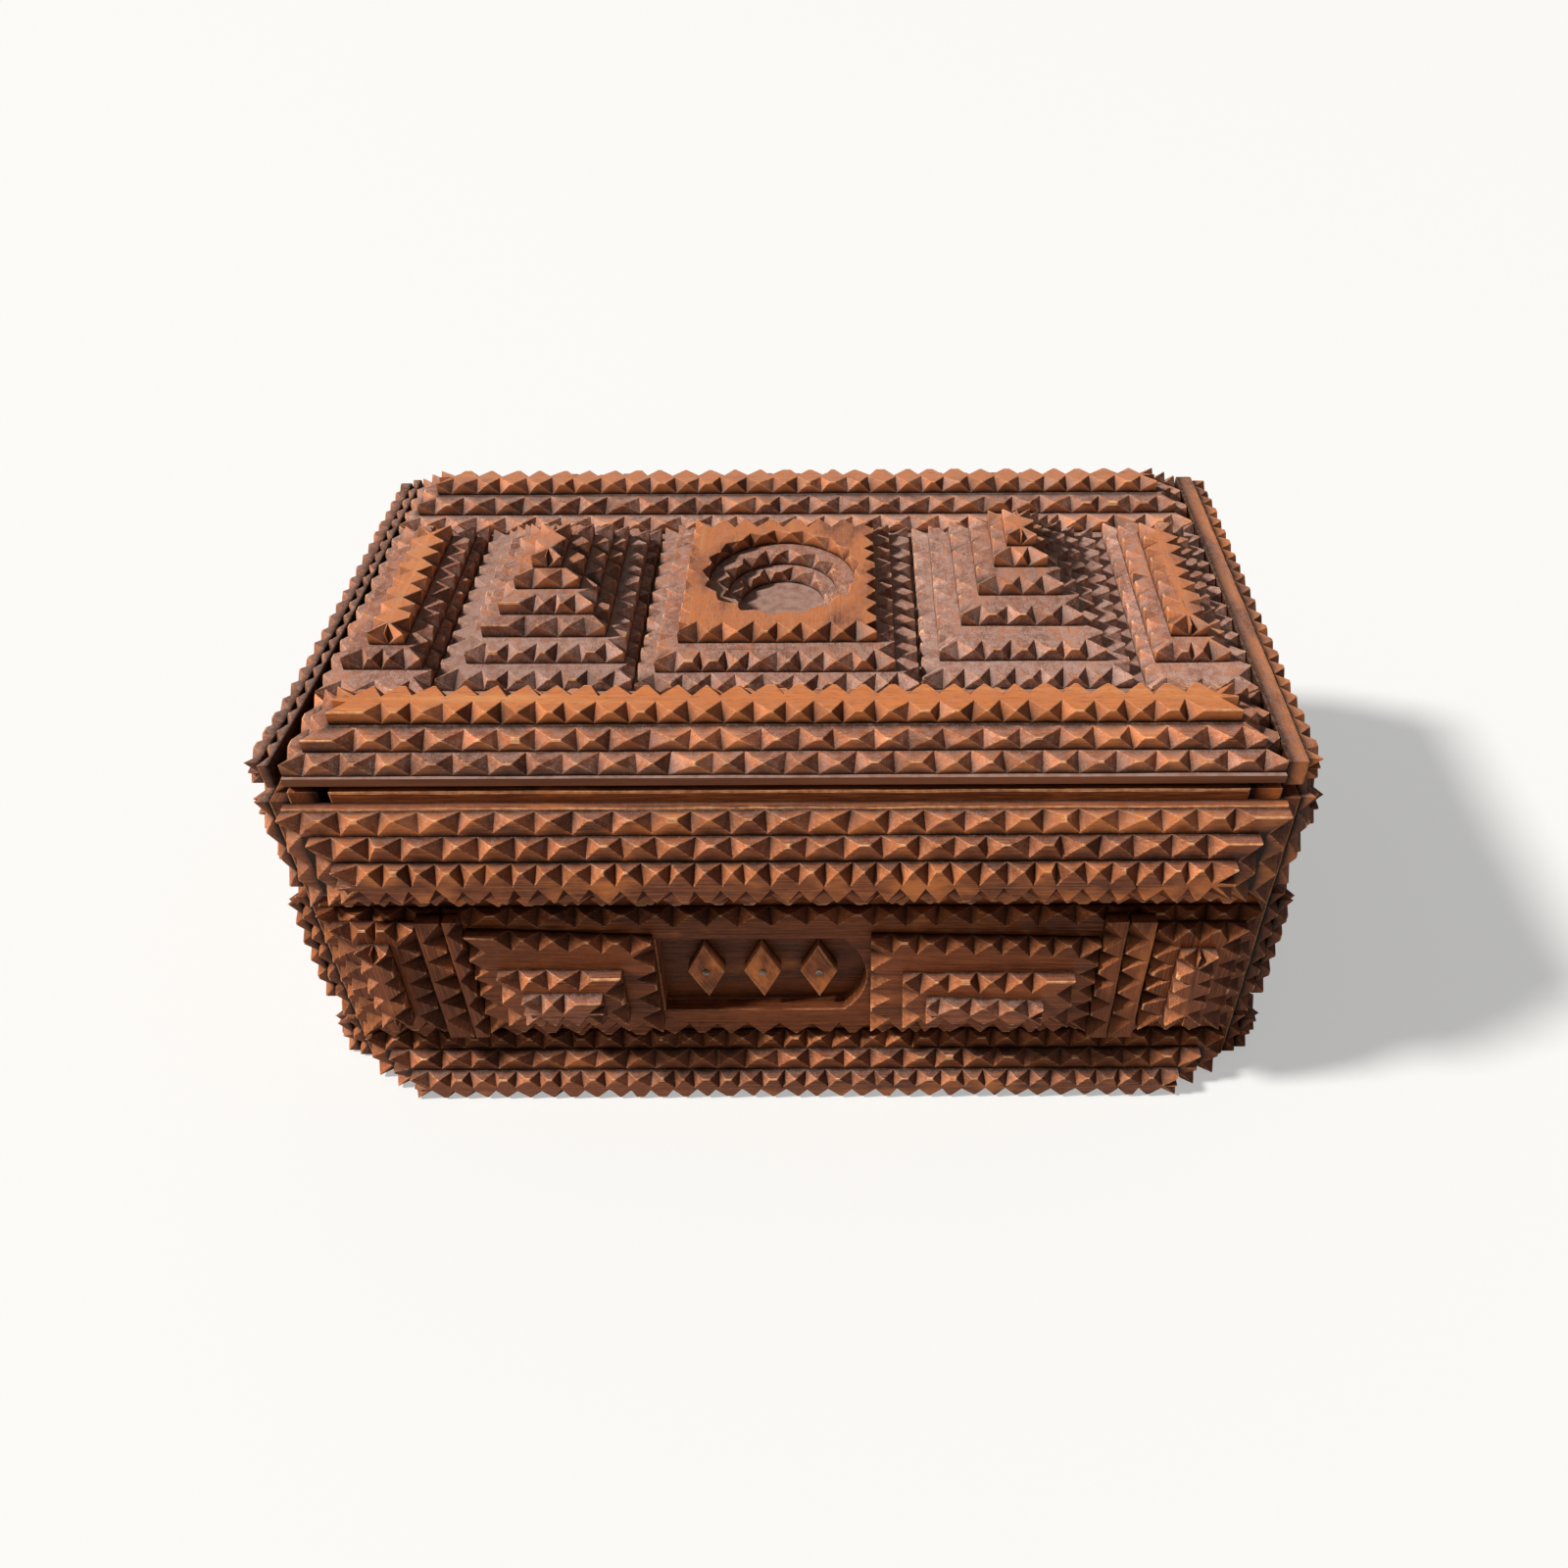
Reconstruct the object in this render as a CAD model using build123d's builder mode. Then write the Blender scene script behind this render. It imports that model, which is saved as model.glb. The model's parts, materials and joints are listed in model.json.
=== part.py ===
"""A notch-carved wooden cigar box with a hinged lid, built up from layered cedar boards, in millimetres.

The origin is at the bottom centre of the box. X runs to the right, the front faces -Y and Z is up.
A plain box of thin boards is dressed with layers of thinner boards, and every outer arris of each
layer is cut into a row of pyramids by slanted V notches.
"""

from build123d import *
from collections import namedtuple
import math
import os

# The plain box inside
box_half_width = 115.0
box_half_depth = 68.0
box_height = 101.0
end_thickness = 7.3
wall_thickness = 6.0
floor_thickness = 4.5
shrinkage_slit = 2.2
lid_gap = 0.3
lid_thickness = 3.7
lid_front_chamfer = 1.6

# The plain boards glued to the box, which carry the carved layers
backing_thickness = 2.8
end_backing_thickness = 4.8
backing_overhang = 1.5
ledge_drop = 2.9
foot_lift = 0.5

# The carved layers
layer = 3.66
notch_run = 4.4
notch_foot = 0.3
corner_land = 0.2
widest_notch_share = 0.42
strip_notch_share = 0.85

# Rows of pyramids, as the spacing of their tips
wide_pitch = 9.0
coarse_pitch = 8.4
middle_pitch = 7.3
close_pitch = 6.5
fine_pitch = 6.0

# The three-step rails round the body, given by each step's height and inset from the end
rail_top_steps = (0.0, 4.7, 9.6)
rail_top_reach = (29.1, 24.6, 20.1)
rail_base_height = (16.8, 12.9, 8.3)
rail_insets = (0.0, 6.6, 11.9)
base_insets = (0.3, 6.3, 12.4)
end_base_insets = (0.5, 2.0, 8.0)

# The board that fills each side between the rails, and its gap to the rails below and above it
field_inset = 0.3
field_base_gap = 1.7
field_top_gap = 3.0

# The window in the front board
window_left = -33.6
window_length = 52.8
window_bow = 5.9
window_lift = 10.1
window_drop = 9.1
window_sink = 1.1
lozenge_width = 9.5
lozenge_margin = 3.9
lozenge_thickness = 3.4
lozenge_spacing = 14.5
lozenge_inset = 11.6
lozenge_count = 3

# Columns on the front board, each given as outer and inner inset from the board's own end, lift above
# its lower edge and drop below its upper edge. A block reaches from its outer inset to the window.
left_corner = (3.7, 24.8, 5.5, 1.0)
left_outer_strip = (25.0, 31.8, 3.5, -1.6)
left_inner_strip = (31.9, 36.1, 3.5, -1.6)
left_block = (36.2, 0.5, 5.3, 5.2)
right_block = (39.0, 1.0, 5.0, 6.8)
right_inner_strip = (33.0, 38.9, 2.6, -1.0)
right_outer_strip = (26.2, 32.9, 2.6, -1.0)
right_corner = (3.7, 26.0, 5.4, 2.0)

# Stacks on the back and the ends
back_stack_margin = 14.7
back_stack_count = 3
end_stack_margin = 1.7
end_stack_count = 2
stack_gap = 10.0
stack_lift = 5.5
stack_drop = 4.5

# Tiers of each stack, as the share of its lowest board that they stand in at left, right, low and high
left_corner_tiers = ((0.299, 0.308, 0.170, 0.111),)
left_block_tiers = ((0.144, 0.168, 0.205, 0.274), (0.275, 0.279, 0.334, 0.416))
right_block_tiers = ((0.135, 0.102, 0.176, 0.284), (0.242, 0.239, 0.352, 0.455))
right_corner_tiers = ((0.256, 0.305, 0.162, 0.144),)
back_stack_tiers = ((0.10, 0.10, 0.16, 0.16), (0.20, 0.20, 0.32, 0.32))
end_stack_tiers = ((0.12, 0.12, 0.16, 0.16),)
left_side_tiers = ((0.164, 0.075, 0.104, 0.086), (0.381, 0.261, 0.174, 0.160))
right_side_tiers = ((0.101, 0.187, 0.128, 0.099), (0.269, 0.362, 0.204, 0.155))
left_pyramid_tiers = (
    (0.130, 0.051, 0.090, 0.091),
    (0.204, 0.149, 0.174, 0.145),
    (0.285, 0.218, 0.237, 0.217),
    (0.354, 0.291, 0.323, 0.308),
    (0.440, 0.389, 0.378, 0.389),
)
right_pyramid_tiers = (
    (0.088, 0.118, 0.097, 0.073),
    (0.191, 0.210, 0.232, 0.117),
    (0.288, 0.290, 0.345, 0.167),
    (0.376, 0.357, 0.452, 0.225),
    (0.433, 0.414, 0.508, 0.297),
)
bowl_board_tiers = ((0.067, 0.083, 0.060, 0.064), (0.143, 0.147, 0.158, 0.110))

# Small nails
nail_head_radius = 0.9
nail_head_rise = 0.35
nail_shank_radius = 0.45
nail_clearance = 0.03
nail_length = 3.0

# The lid's border, given by each layer's outer and inner setback from the box's own edge
lid_side_setback = (0.0, 4.5, 9.6)
lid_front_outer = (0.6, 4.8, 10.2)
lid_front_inner = (28.0, 24.5, 21.1)
lid_back_outer = (0.6, 5.0, 9.7)
lid_back_inner = (28.5, 23.9, 18.4)
lid_side_inner = 26.8
joint_gap = 0.3

# The three fields inside the border, with their gaps to it and to each other
pyramid_side_gaps = (1.0, 2.8)
pyramid_front_gap = 4.4
pyramid_back_gap = 2.6
pyramid_bowl_gap = 0.5
bowl_board_half_width = 35.0
bowl_board_front_gap = 2.6
bowl_board_back_gap = 2.1

# The bowl in the middle of the lid
bowl_x = -2.7
bowl_y = 2.4
bowl_radii = (11.2, 14.4, 19.3)
bowl_notches = (11, 15, 17)
bowl_notch_run = 3.2
bowl_tip_flat = 0.2
cutter_margin = 1.0

# The lid's end rails
left_rail_thickness = 2.6
right_rail_thickness = 4.8
end_rail_height = 7.0
end_strip_height = 6.2
end_rail_setback = 1.0
end_strip_setback = 2.5
splay_degrees = 1.0

# The hinges
hinge_x = 62.0
leaf_length = 26.0
leaf_thickness = 0.8
leaf_width = 5.2
barrel_radius = 2.0
barrel_clearance = 0.1
pin_radius = 0.8
pin_clearance = 0.05
knuckle_share = 1 / 3
knuckle_gap = 0.15
leaf_clearance = 0.03
screw_radius = 0.7
screw_head_radius = 1.4
screw_head_height = 0.7
screw_length = 4.0
lid_screw_length = 2.6
screw_spacing = 16.0
screw_clearance = 0.03

Span = namedtuple("Span", "left right low high")

os.makedirs("parts", exist_ok=True)


def save(builder, name):
    """Label the finished piece and write it under its own name."""
    builder.part.label = name
    export_step(builder.part, f"parts/{name}.step")


def valley_places(length, pitch, run):
    """Distances of the valleys along an edge: evenly spaced, the first clear of the corner's own tip."""
    first = run + corner_land
    count = max(1, round((length - 2 * first) / pitch))
    step = (length - 2 * first) / count
    return [first + index * step for index in range(count + 1)]


def carved_board(face, span, pitch, strip_edge=None):
    """One board on the given face plane, with all four of its outer arrises notched.

    Each notch has two triangular facets. They meet in a valley that slopes from a point on the
    board's face, run behind the arris, to a point on its edge, drop below the arris. A strip has
    notches in one edge only, "left" or "right", and they run nearly through its width.
    """
    width = span.right - span.left
    height = span.high - span.low
    if strip_edge:
        run = strip_notch_share * width
        notched = [{"right": 1, "left": 3}[strip_edge]]
    else:
        run = min(notch_run, widest_notch_share * min(width, height))
        notched = range(4)
    corners = [(span.left, span.low), (span.right, span.low), (span.right, span.high), (span.left, span.high)]
    foot = [face.from_local_coords(Vector(x, y, 0)) for x, y in corners]
    rim = [face.from_local_coords(Vector(x, y, layer)) for x, y in corners]
    outline = []
    loops = [foot]
    for index in range(4):
        start, end = rim[index], rim[(index + 1) % 4]
        if index not in notched:
            outline.append(start)
            loops.append([foot[index], foot[(index + 1) % 4], end, start])
            continue
        along = (end - start).normalized()
        inward = face.z_dir.cross(along)
        places = valley_places((end - start).length, pitch, run)
        middles = [(a + b) / 2 for a, b in zip(places, places[1:])]
        tips = [start] + [start + along * place for place in middles] + [end]
        tops = [start + along * place + inward * run for place in places]
        feet = [start + along * place - face.z_dir * (layer - notch_foot) for place in places]
        edge = [foot[index], foot[(index + 1) % 4], end]
        for number in reversed(range(len(places))):
            edge += [feet[number], tips[number]]
        loops.append(edge)
        for number, (top, low) in enumerate(zip(tops, feet)):
            outline += [tips[number], top]
            loops += [[tips[number], top, low], [top, tips[number + 1], low]]
    loops.append(outline)
    return Solid(Shell([Face(Wire.make_polygon(loop)) for loop in loops]))


def nested(base, shares):
    """The span of a tier that stands in from its lowest board by shares of that board's size."""
    left, right, low, high = shares
    width = base.right - base.left
    height = base.high - base.low
    return Span(
        base.left + left * width,
        base.right - right * width,
        base.low + low * height,
        base.high - high * height,
    )


def side_by_side(field, margin, count):
    """Spans of a number of equal stacks across a field, with a margin at both ends of the field."""
    width = (field.right - field.left - 2 * margin - (count - 1) * stack_gap) / count
    starts = [field.left + margin + index * (width + stack_gap) for index in range(count)]
    low = field.low + stack_lift
    high = field.high - stack_drop
    return [Span(start, start + width, low, high) for start in starts]


def board_group(name, boards):
    """One node of separate boards, each given by what carved_board takes for it."""
    with BuildPart() as group:
        add([carved_board(*board) for board in boards])
    save(group, name)


def plain_board(name, x_range, y_range, z_range):
    """One plain board between the given limits."""
    with BuildPart() as board:
        with Locations([(sum(x_range) / 2, sum(y_range) / 2, sum(z_range) / 2)]):
            Box(x_range[1] - x_range[0], y_range[1] - y_range[0], z_range[1] - z_range[0])
    save(board, name)


def front_face(level):
    """Plane on the front, a number of layers out from the backing board: local X right, local Y up."""
    distance = box_half_depth + backing_thickness + level * layer
    return Plane(origin=(0, -distance, 0), x_dir=(1, 0, 0), z_dir=(0, -1, 0))


def back_face(level):
    """Plane on the back, a number of layers out from the backing board."""
    distance = box_half_depth + backing_thickness + level * layer
    return Plane(origin=(0, distance, 0), x_dir=(-1, 0, 0), z_dir=(0, 1, 0))


def end_face(level, side):
    """Plane on one end, side -1 for the left and +1 for the right."""
    distance = box_half_width + end_backing_thickness + level * layer
    return Plane(origin=(side * distance, 0, 0), x_dir=(0, side, 0), z_dir=(side, 0, 0))


lid_base = box_height + lid_gap
lid_top = lid_base + lid_thickness


def lid_face(level):
    """Plane on the lid board, a number of layers up."""
    return Plane.XY.offset(lid_top + level * layer)


# The plain box: two thick ends, the front and back between them, and the floor inside all four
inner_half_width = box_half_width - end_thickness
inner_half_depth = box_half_depth - wall_thickness
wall_height = (0, box_height)

with BuildPart() as core_ends:
    for side in (-1, 1):
        with Locations([(side * (inner_half_width + box_half_width) / 2, 0, box_height / 2)]):
            Box(end_thickness, 2 * box_half_depth, box_height)
save(core_ends, "core_ends")
front_range = (-inner_half_width + shrinkage_slit, inner_half_width)
plain_board("core_front", front_range, (-box_half_depth, -inner_half_depth), wall_height)
floor_x = (-inner_half_width, inner_half_width)
floor_y = (-inner_half_depth, inner_half_depth)
plain_board("core_floor", floor_x, floor_y, (0, floor_thickness))

# The hinge line lies just behind the back wall, half way up the gap under the lid
axis_y = box_half_depth + barrel_radius + barrel_clearance
axis_z = box_height + lid_gap / 2
leaf_front = box_half_depth - leaf_width
leaf_places = [(side * hinge_x, (leaf_front + box_half_depth) / 2) for side in (-1, 1)]
screw_places = [
    (side * hinge_x + offset, (leaf_front + box_half_depth) / 2)
    for side in (-1, 1)
    for offset in (-screw_spacing / 2, screw_spacing / 2)
]
recess_length = leaf_length + 2 * leaf_clearance
recess_width = leaf_width + leaf_clearance
recess_places = [(x, box_half_depth - recess_width / 2) for x, y in leaf_places]

with BuildPart() as core_back:
    with Locations([(0, box_half_depth - wall_thickness / 2, box_height / 2)]):
        Box(2 * inner_half_width, wall_thickness, box_height)
    with BuildSketch(Plane.XY.offset(box_height)):
        with Locations(recess_places):
            Rectangle(recess_length, recess_width)
    extrude(amount=-leaf_thickness, mode=Mode.SUBTRACT)
    with BuildSketch(Plane.XY.offset(box_height)):
        with Locations(screw_places):
            Circle(screw_radius + screw_clearance)
    extrude(amount=-leaf_thickness - screw_length - screw_clearance, mode=Mode.SUBTRACT)
save(core_back, "core_back")

with BuildPart() as lid_board:
    with Locations([(0, 0, lid_base + lid_thickness / 2)]):
        Box(2 * box_half_width, 2 * box_half_depth, lid_thickness)
    lower_arrises = lid_board.edges().group_by(Axis.Z)[0]
    chamfer(lower_arrises.sort_by(Axis.Y)[0], length=lid_front_chamfer)
    with BuildSketch(Plane.XY.offset(lid_base)):
        with Locations(recess_places):
            Rectangle(recess_length, recess_width)
    extrude(amount=leaf_thickness, mode=Mode.SUBTRACT)
    with BuildSketch(Plane.XY.offset(lid_base)):
        with Locations(screw_places):
            Circle(screw_radius + screw_clearance)
    extrude(amount=leaf_thickness + lid_screw_length + screw_clearance, mode=Mode.SUBTRACT)
save(lid_board, "lid_board")


def hinge_leaves(name, leaf_z, facing, lid_side):
    """A pair of hinge leaves: a plate with countersunk holes, rolled into knuckles round the pin."""
    half = leaf_length / 2
    inner_half = half * knuckle_share
    spans = [(-inner_half + knuckle_gap, inner_half - knuckle_gap)]
    if not lid_side:
        spans = [(-half, -inner_half), (inner_half, half)]
    with BuildPart() as leaves:
        for place_x, place_y in leaf_places:
            with Locations([(place_x, place_y, leaf_z)]):
                Box(leaf_length, leaf_width, leaf_thickness)
            for low, high in spans:
                knuckle_plane = Plane(origin=(place_x + low, axis_y, axis_z), x_dir=(0, 1, 0), z_dir=(1, 0, 0))
                with BuildSketch(knuckle_plane):
                    Circle(barrel_radius)
                extrude(amount=high - low)
                tab_depth = axis_y - box_half_depth
                tab_middle = (place_x + (low + high) / 2, box_half_depth + tab_depth / 2, leaf_z)
                with Locations([tab_middle]):
                    Box(high - low, tab_depth, leaf_thickness)
            bore_plane = Plane(origin=(place_x - half, axis_y, axis_z), x_dir=(0, 1, 0), z_dir=(1, 0, 0))
            with BuildSketch(bore_plane):
                Circle(pin_radius + pin_clearance)
            extrude(amount=leaf_length, mode=Mode.SUBTRACT)
        mouth = Plane(origin=(0, 0, leaf_z + facing * leaf_thickness / 2), z_dir=(0, 0, facing))
        with Locations(mouth):
            with Locations([(x * mouth.x_dir.X, y * mouth.y_dir.Y) for x, y in screw_places]):
                Hole(radius=screw_radius + screw_clearance, depth=leaf_thickness)
                Cone(
                    bottom_radius=screw_radius + screw_clearance,
                    top_radius=screw_head_radius + screw_clearance,
                    height=screw_head_height,
                    align=(Align.CENTER, Align.CENTER, Align.MAX),
                    mode=Mode.SUBTRACT,
                )
    save(leaves, name)


hinge_leaves("hinge_body_leaves", box_height - leaf_thickness / 2, 1, False)
hinge_leaves("hinge_lid_leaves", lid_base + leaf_thickness / 2, -1, True)

with BuildPart() as hinge_pins:
    for place_x, place_y in leaf_places:
        pin_plane = Plane(origin=(place_x - leaf_length / 2, axis_y, axis_z), x_dir=(0, 1, 0), z_dir=(1, 0, 0))
        with BuildSketch(pin_plane):
            Circle(pin_radius)
        extrude(amount=leaf_length)
save(hinge_pins, "hinge_pins")


def leaf_screws(name, seat_z, facing, length):
    """Countersunk screws through one pair of leaves, their heads flush with the leaf at seat_z."""
    with BuildPart() as screws:
        with Locations([(x, y, seat_z) for x, y in screw_places]):
            with Locations(Plane(origin=(0, 0, 0), z_dir=(0, 0, facing))):
                Cone(
                    bottom_radius=screw_radius,
                    top_radius=screw_head_radius,
                    height=screw_head_height,
                    align=(Align.CENTER, Align.CENTER, Align.MAX),
                )
                Cylinder(
                    radius=screw_radius,
                    height=leaf_thickness + length,
                    align=(Align.CENTER, Align.CENTER, Align.MAX),
                )
    save(screws, name)


leaf_screws("hinge_body_screws", box_height, 1, screw_length)
leaf_screws("hinge_lid_screws", lid_base, -1, lid_screw_length)

# Backing boards: their upper edge is the plain ledge under the gap of the lid
face_half_width = box_half_width + backing_overhang
backing_height = (foot_lift, box_height - ledge_drop)
ledge = box_height - ledge_drop
backing_front = box_half_depth + backing_thickness

# The field boards' span between the rails, and the window's edges in it
field_half = face_half_width - field_inset
field_low = foot_lift + rail_base_height[0] + field_base_gap
field_high = ledge - rail_top_reach[0] - field_top_gap
field_span = Span(-field_half, field_half, field_low, field_high)
window_right = window_left + window_length
window_shoulder = window_right - window_bow
window_low = field_low + window_lift
window_high = field_high - window_drop


def window_cut(face, depth):
    """Cut the window: square at the left, bowed at the right, the given depth out from the face."""
    with BuildSketch(face) as window:
        with BuildLine():
            Polyline(
                (window_shoulder, window_low),
                (window_left, window_low),
                (window_left, window_high),
                (window_shoulder, window_high),
            )
            ThreePointArc(
                (window_shoulder, window_high),
                (window_right, (window_low + window_high) / 2),
                (window_shoulder, window_low),
            )
        make_face()
    extrude(window.sketch, amount=depth, mode=Mode.SUBTRACT)


with BuildPart() as front_backing:
    with Locations([(0, -(box_half_depth + backing_front) / 2, sum(backing_height) / 2)]):
        Box(2 * face_half_width, backing_thickness, backing_height[1] - backing_height[0])
    window_cut(front_face(0), -window_sink)
save(front_backing, "front_backing")

plain_board("back_backing", (-face_half_width, face_half_width), (box_half_depth, backing_front), backing_height)

with BuildPart() as end_backings:
    for side in (-1, 1):
        centre_x = side * (box_half_width + end_backing_thickness / 2)
        with Locations([(centre_x, 0, sum(backing_height) / 2)]):
            Box(end_backing_thickness, 2 * box_half_depth, backing_height[1] - backing_height[0])
save(end_backings, "end_backings")

# The stepped rails: three layers under the lid and three at the foot, on all four sides
rail_pitches = (wide_pitch, coarse_pitch, fine_pitch)
base_pitches = (middle_pitch, coarse_pitch, fine_pitch)
for step in range(3):
    high = ledge - rail_top_steps[step]
    low = ledge - rail_top_reach[step]
    half = face_half_width - rail_insets[step]
    end_half = box_half_depth - rail_insets[step]
    top_span = Span(-half, half, low, high)
    end_span = Span(-end_half, end_half, low, high)
    pitch = rail_pitches[step]
    long_sides = [(front_face(step), top_span, pitch), (back_face(step), top_span, pitch)]
    board_group(f"long_top_rails_{step + 1}", long_sides)
    ends = [(end_face(step, side), end_span, pitch) for side in (-1, 1)]
    board_group(f"end_top_rails_{step + 1}", ends)

    half = face_half_width - base_insets[step]
    end_half = box_half_depth - end_base_insets[step]
    base_span = Span(-half, half, foot_lift, foot_lift + rail_base_height[step])
    end_span = Span(-end_half, end_half, foot_lift, foot_lift + rail_base_height[step])
    pitch = base_pitches[step]
    long_sides = [(front_face(step), base_span, pitch), (back_face(step), base_span, pitch)]
    board_group(f"long_base_rails_{step + 1}", long_sides)
    ends = [(end_face(step, side), end_span, pitch) for side in (-1, 1)]
    board_group(f"end_base_rails_{step + 1}", ends)

# The field boards between the rails, the front one with its window
with BuildPart() as front_field:
    add(carved_board(front_face(0), field_span, coarse_pitch))
    window_cut(front_face(0), layer)
save(front_field, "front_field_board")
board_group("back_field_board", [(back_face(0), field_span, coarse_pitch)])
end_field_half = box_half_depth - field_inset
end_field = Span(-end_field_half, end_field_half, field_low, field_high)
board_group("end_field_boards", [(end_face(0, side), end_field, coarse_pitch) for side in (-1, 1)])


def left_column(outer, inner, lift, drop):
    """Span of a column given by its insets from the left end of the front field board."""
    return Span(-field_half + outer, -field_half + inner, field_low + lift, field_high - drop)


def right_column(outer, inner, lift, drop):
    """Span of a column given by its insets from the right end of the front field board."""
    return Span(field_half - inner, field_half - outer, field_low + lift, field_high - drop)


def window_block(outer, gap, lift, drop, side):
    """Span of the block between the window and the outer columns, on side -1 or +1."""
    outer_edge = side * (field_half - outer)
    window_edge = window_left - gap if side < 0 else window_right + gap
    left, right = sorted((outer_edge, window_edge))
    return Span(left, right, field_low + lift, field_high - drop)


# Stacked tiers on the front field board, from the left end to the right
front_stacks = (
    (left_column(*left_corner), left_corner_tiers),
    (window_block(*left_block, -1), left_block_tiers),
    (window_block(*right_block, 1), right_block_tiers),
    (right_column(*right_corner), right_corner_tiers),
)
front_strips = (
    (left_column(*left_outer_strip), "right"),
    (left_column(*left_inner_strip), "left"),
    (right_column(*right_inner_strip), "right"),
    (right_column(*right_outer_strip), "left"),
)
back_stacks = [(base, back_stack_tiers) for base in side_by_side(field_span, back_stack_margin, back_stack_count)]
end_stacks = [(base, end_stack_tiers) for base in side_by_side(end_field, end_stack_margin, end_stack_count)]


def tier_spans(stacks, tier):
    """Spans of one tier over all the stacks that reach it, tier 0 being their lowest boards."""
    if tier == 0:
        return [base for base, upper in stacks]
    return [nested(base, upper[tier - 1]) for base, upper in stacks if len(upper) >= tier]


for tier in range(3):
    front_boards = [(front_face(tier + 1), span, middle_pitch) for span in tier_spans(front_stacks, tier)]
    if tier == 0:
        front_boards += [(front_face(1), span, middle_pitch, edge) for span, edge in front_strips]
    board_group(f"front_tier_{tier + 1}", front_boards)
    back_boards = [(back_face(tier + 1), span, middle_pitch) for span in tier_spans(back_stacks, tier)]
    board_group(f"back_tier_{tier + 1}", back_boards)
    end_spans = tier_spans(end_stacks, tier)
    if end_spans:
        end_boards = [(end_face(tier + 1, side), span, middle_pitch) for side in (-1, 1) for span in end_spans]
        board_group(f"end_tier_{tier + 1}", end_boards)

# Three plain lozenges in the window, each held by a small nail
window_floor = -backing_front + window_sink
window_plane = Plane(origin=(0, window_floor, 0), x_dir=(1, 0, 0), z_dir=(0, -1, 0))
lozenge_z = (window_low + window_high) / 2
lozenge_height = window_high - window_low - 2 * lozenge_margin
lozenge_first = window_left + lozenge_inset
lozenge_places = [(lozenge_first + index * lozenge_spacing, lozenge_z) for index in range(lozenge_count)]
with BuildPart() as lozenges:
    with BuildSketch(window_plane):
        for x, z in lozenge_places:
            with BuildLine():
                Polyline(
                    (x - lozenge_width / 2, z),
                    (x, z - lozenge_height / 2),
                    (x + lozenge_width / 2, z),
                    (x, z + lozenge_height / 2),
                    close=True,
                )
            make_face()
    extrude(amount=lozenge_thickness)
    with BuildSketch(window_plane.offset(lozenge_thickness)):
        with Locations(lozenge_places):
            Circle(nail_shank_radius + nail_clearance)
    extrude(amount=-nail_length - nail_clearance, mode=Mode.SUBTRACT)
save(lozenges, "window_lozenges")

nail_plane = window_plane.offset(lozenge_thickness)
with BuildPart() as nails:
    with BuildSketch(nail_plane):
        with Locations(lozenge_places):
            Circle(nail_head_radius)
    extrude(amount=nail_head_rise)
    with BuildSketch(nail_plane):
        with Locations(lozenge_places):
            Circle(nail_shank_radius)
    extrude(amount=-nail_length)
save(nails, "window_nails")

# The lid's border: three layers along the front and back, and one along each side
lid_front_pitches = (coarse_pitch, coarse_pitch, middle_pitch)
for step in range(3):
    half = box_half_width - lid_side_setback[step]
    front_low = -box_half_depth + lid_front_outer[step]
    front_high = -box_half_depth + lid_front_inner[step]
    back_low = box_half_depth - lid_back_inner[step]
    back_high = box_half_depth - lid_back_outer[step]
    pitch = lid_front_pitches[step]
    board_group(f"lid_front_rail_{step + 1}", [(lid_face(step), Span(-half, half, front_low, front_high), pitch)])
    board_group(f"lid_back_rail_{step + 1}", [(lid_face(step), Span(-half, half, back_low, back_high), pitch)])

border_front = -box_half_depth + lid_front_inner[0]
border_back = box_half_depth - lid_back_inner[0]
border_side = box_half_width - lid_side_inner
side_low = border_front + joint_gap
side_high = border_back - joint_gap
left_side_rail = Span(-box_half_width, -border_side, side_low, side_high)
right_side_rail = Span(border_side, box_half_width, side_low, side_high)
board_group("lid_side_rails", [(lid_face(0), span, middle_pitch) for span in (left_side_rail, right_side_rail)])

# Two small tiers on each side rail
side_stacks = ((left_side_rail, left_side_tiers), (right_side_rail, right_side_tiers))
for tier in range(1, 1 + len(left_side_tiers)):
    boards = [(lid_face(tier), span, fine_pitch) for span in tier_spans(side_stacks, tier)]
    board_group(f"lid_side_tier_{tier}", boards)

# Two stepped pyramids left and right of the middle square
bowl_base = Span(
    bowl_x - bowl_board_half_width,
    bowl_x + bowl_board_half_width,
    border_front + bowl_board_front_gap,
    border_back - bowl_board_back_gap,
)
pyramid_low = border_front + pyramid_front_gap
pyramid_high = border_back - pyramid_back_gap
left_gap, right_gap = pyramid_side_gaps
left_pyramid = Span(-border_side + left_gap, bowl_base.left - pyramid_bowl_gap, pyramid_low, pyramid_high)
right_pyramid = Span(bowl_base.right + pyramid_bowl_gap, border_side - right_gap, pyramid_low, pyramid_high)
pyramid_stacks = ((left_pyramid, left_pyramid_tiers), (right_pyramid, right_pyramid_tiers))
pyramid_pitches = (close_pitch, close_pitch, middle_pitch, middle_pitch, middle_pitch, middle_pitch)
for tier, pitch in enumerate(pyramid_pitches):
    boards = [(lid_face(tier), span, pitch) for span in tier_spans(pyramid_stacks, tier)]
    board_group(f"pyramid_tier_{tier + 1}", boards)

# The middle square: three boards whose round holes widen upwards into a stepped bowl
bowl_boards = [bowl_base] + [nested(bowl_base, shares) for shares in bowl_board_tiers]


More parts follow.
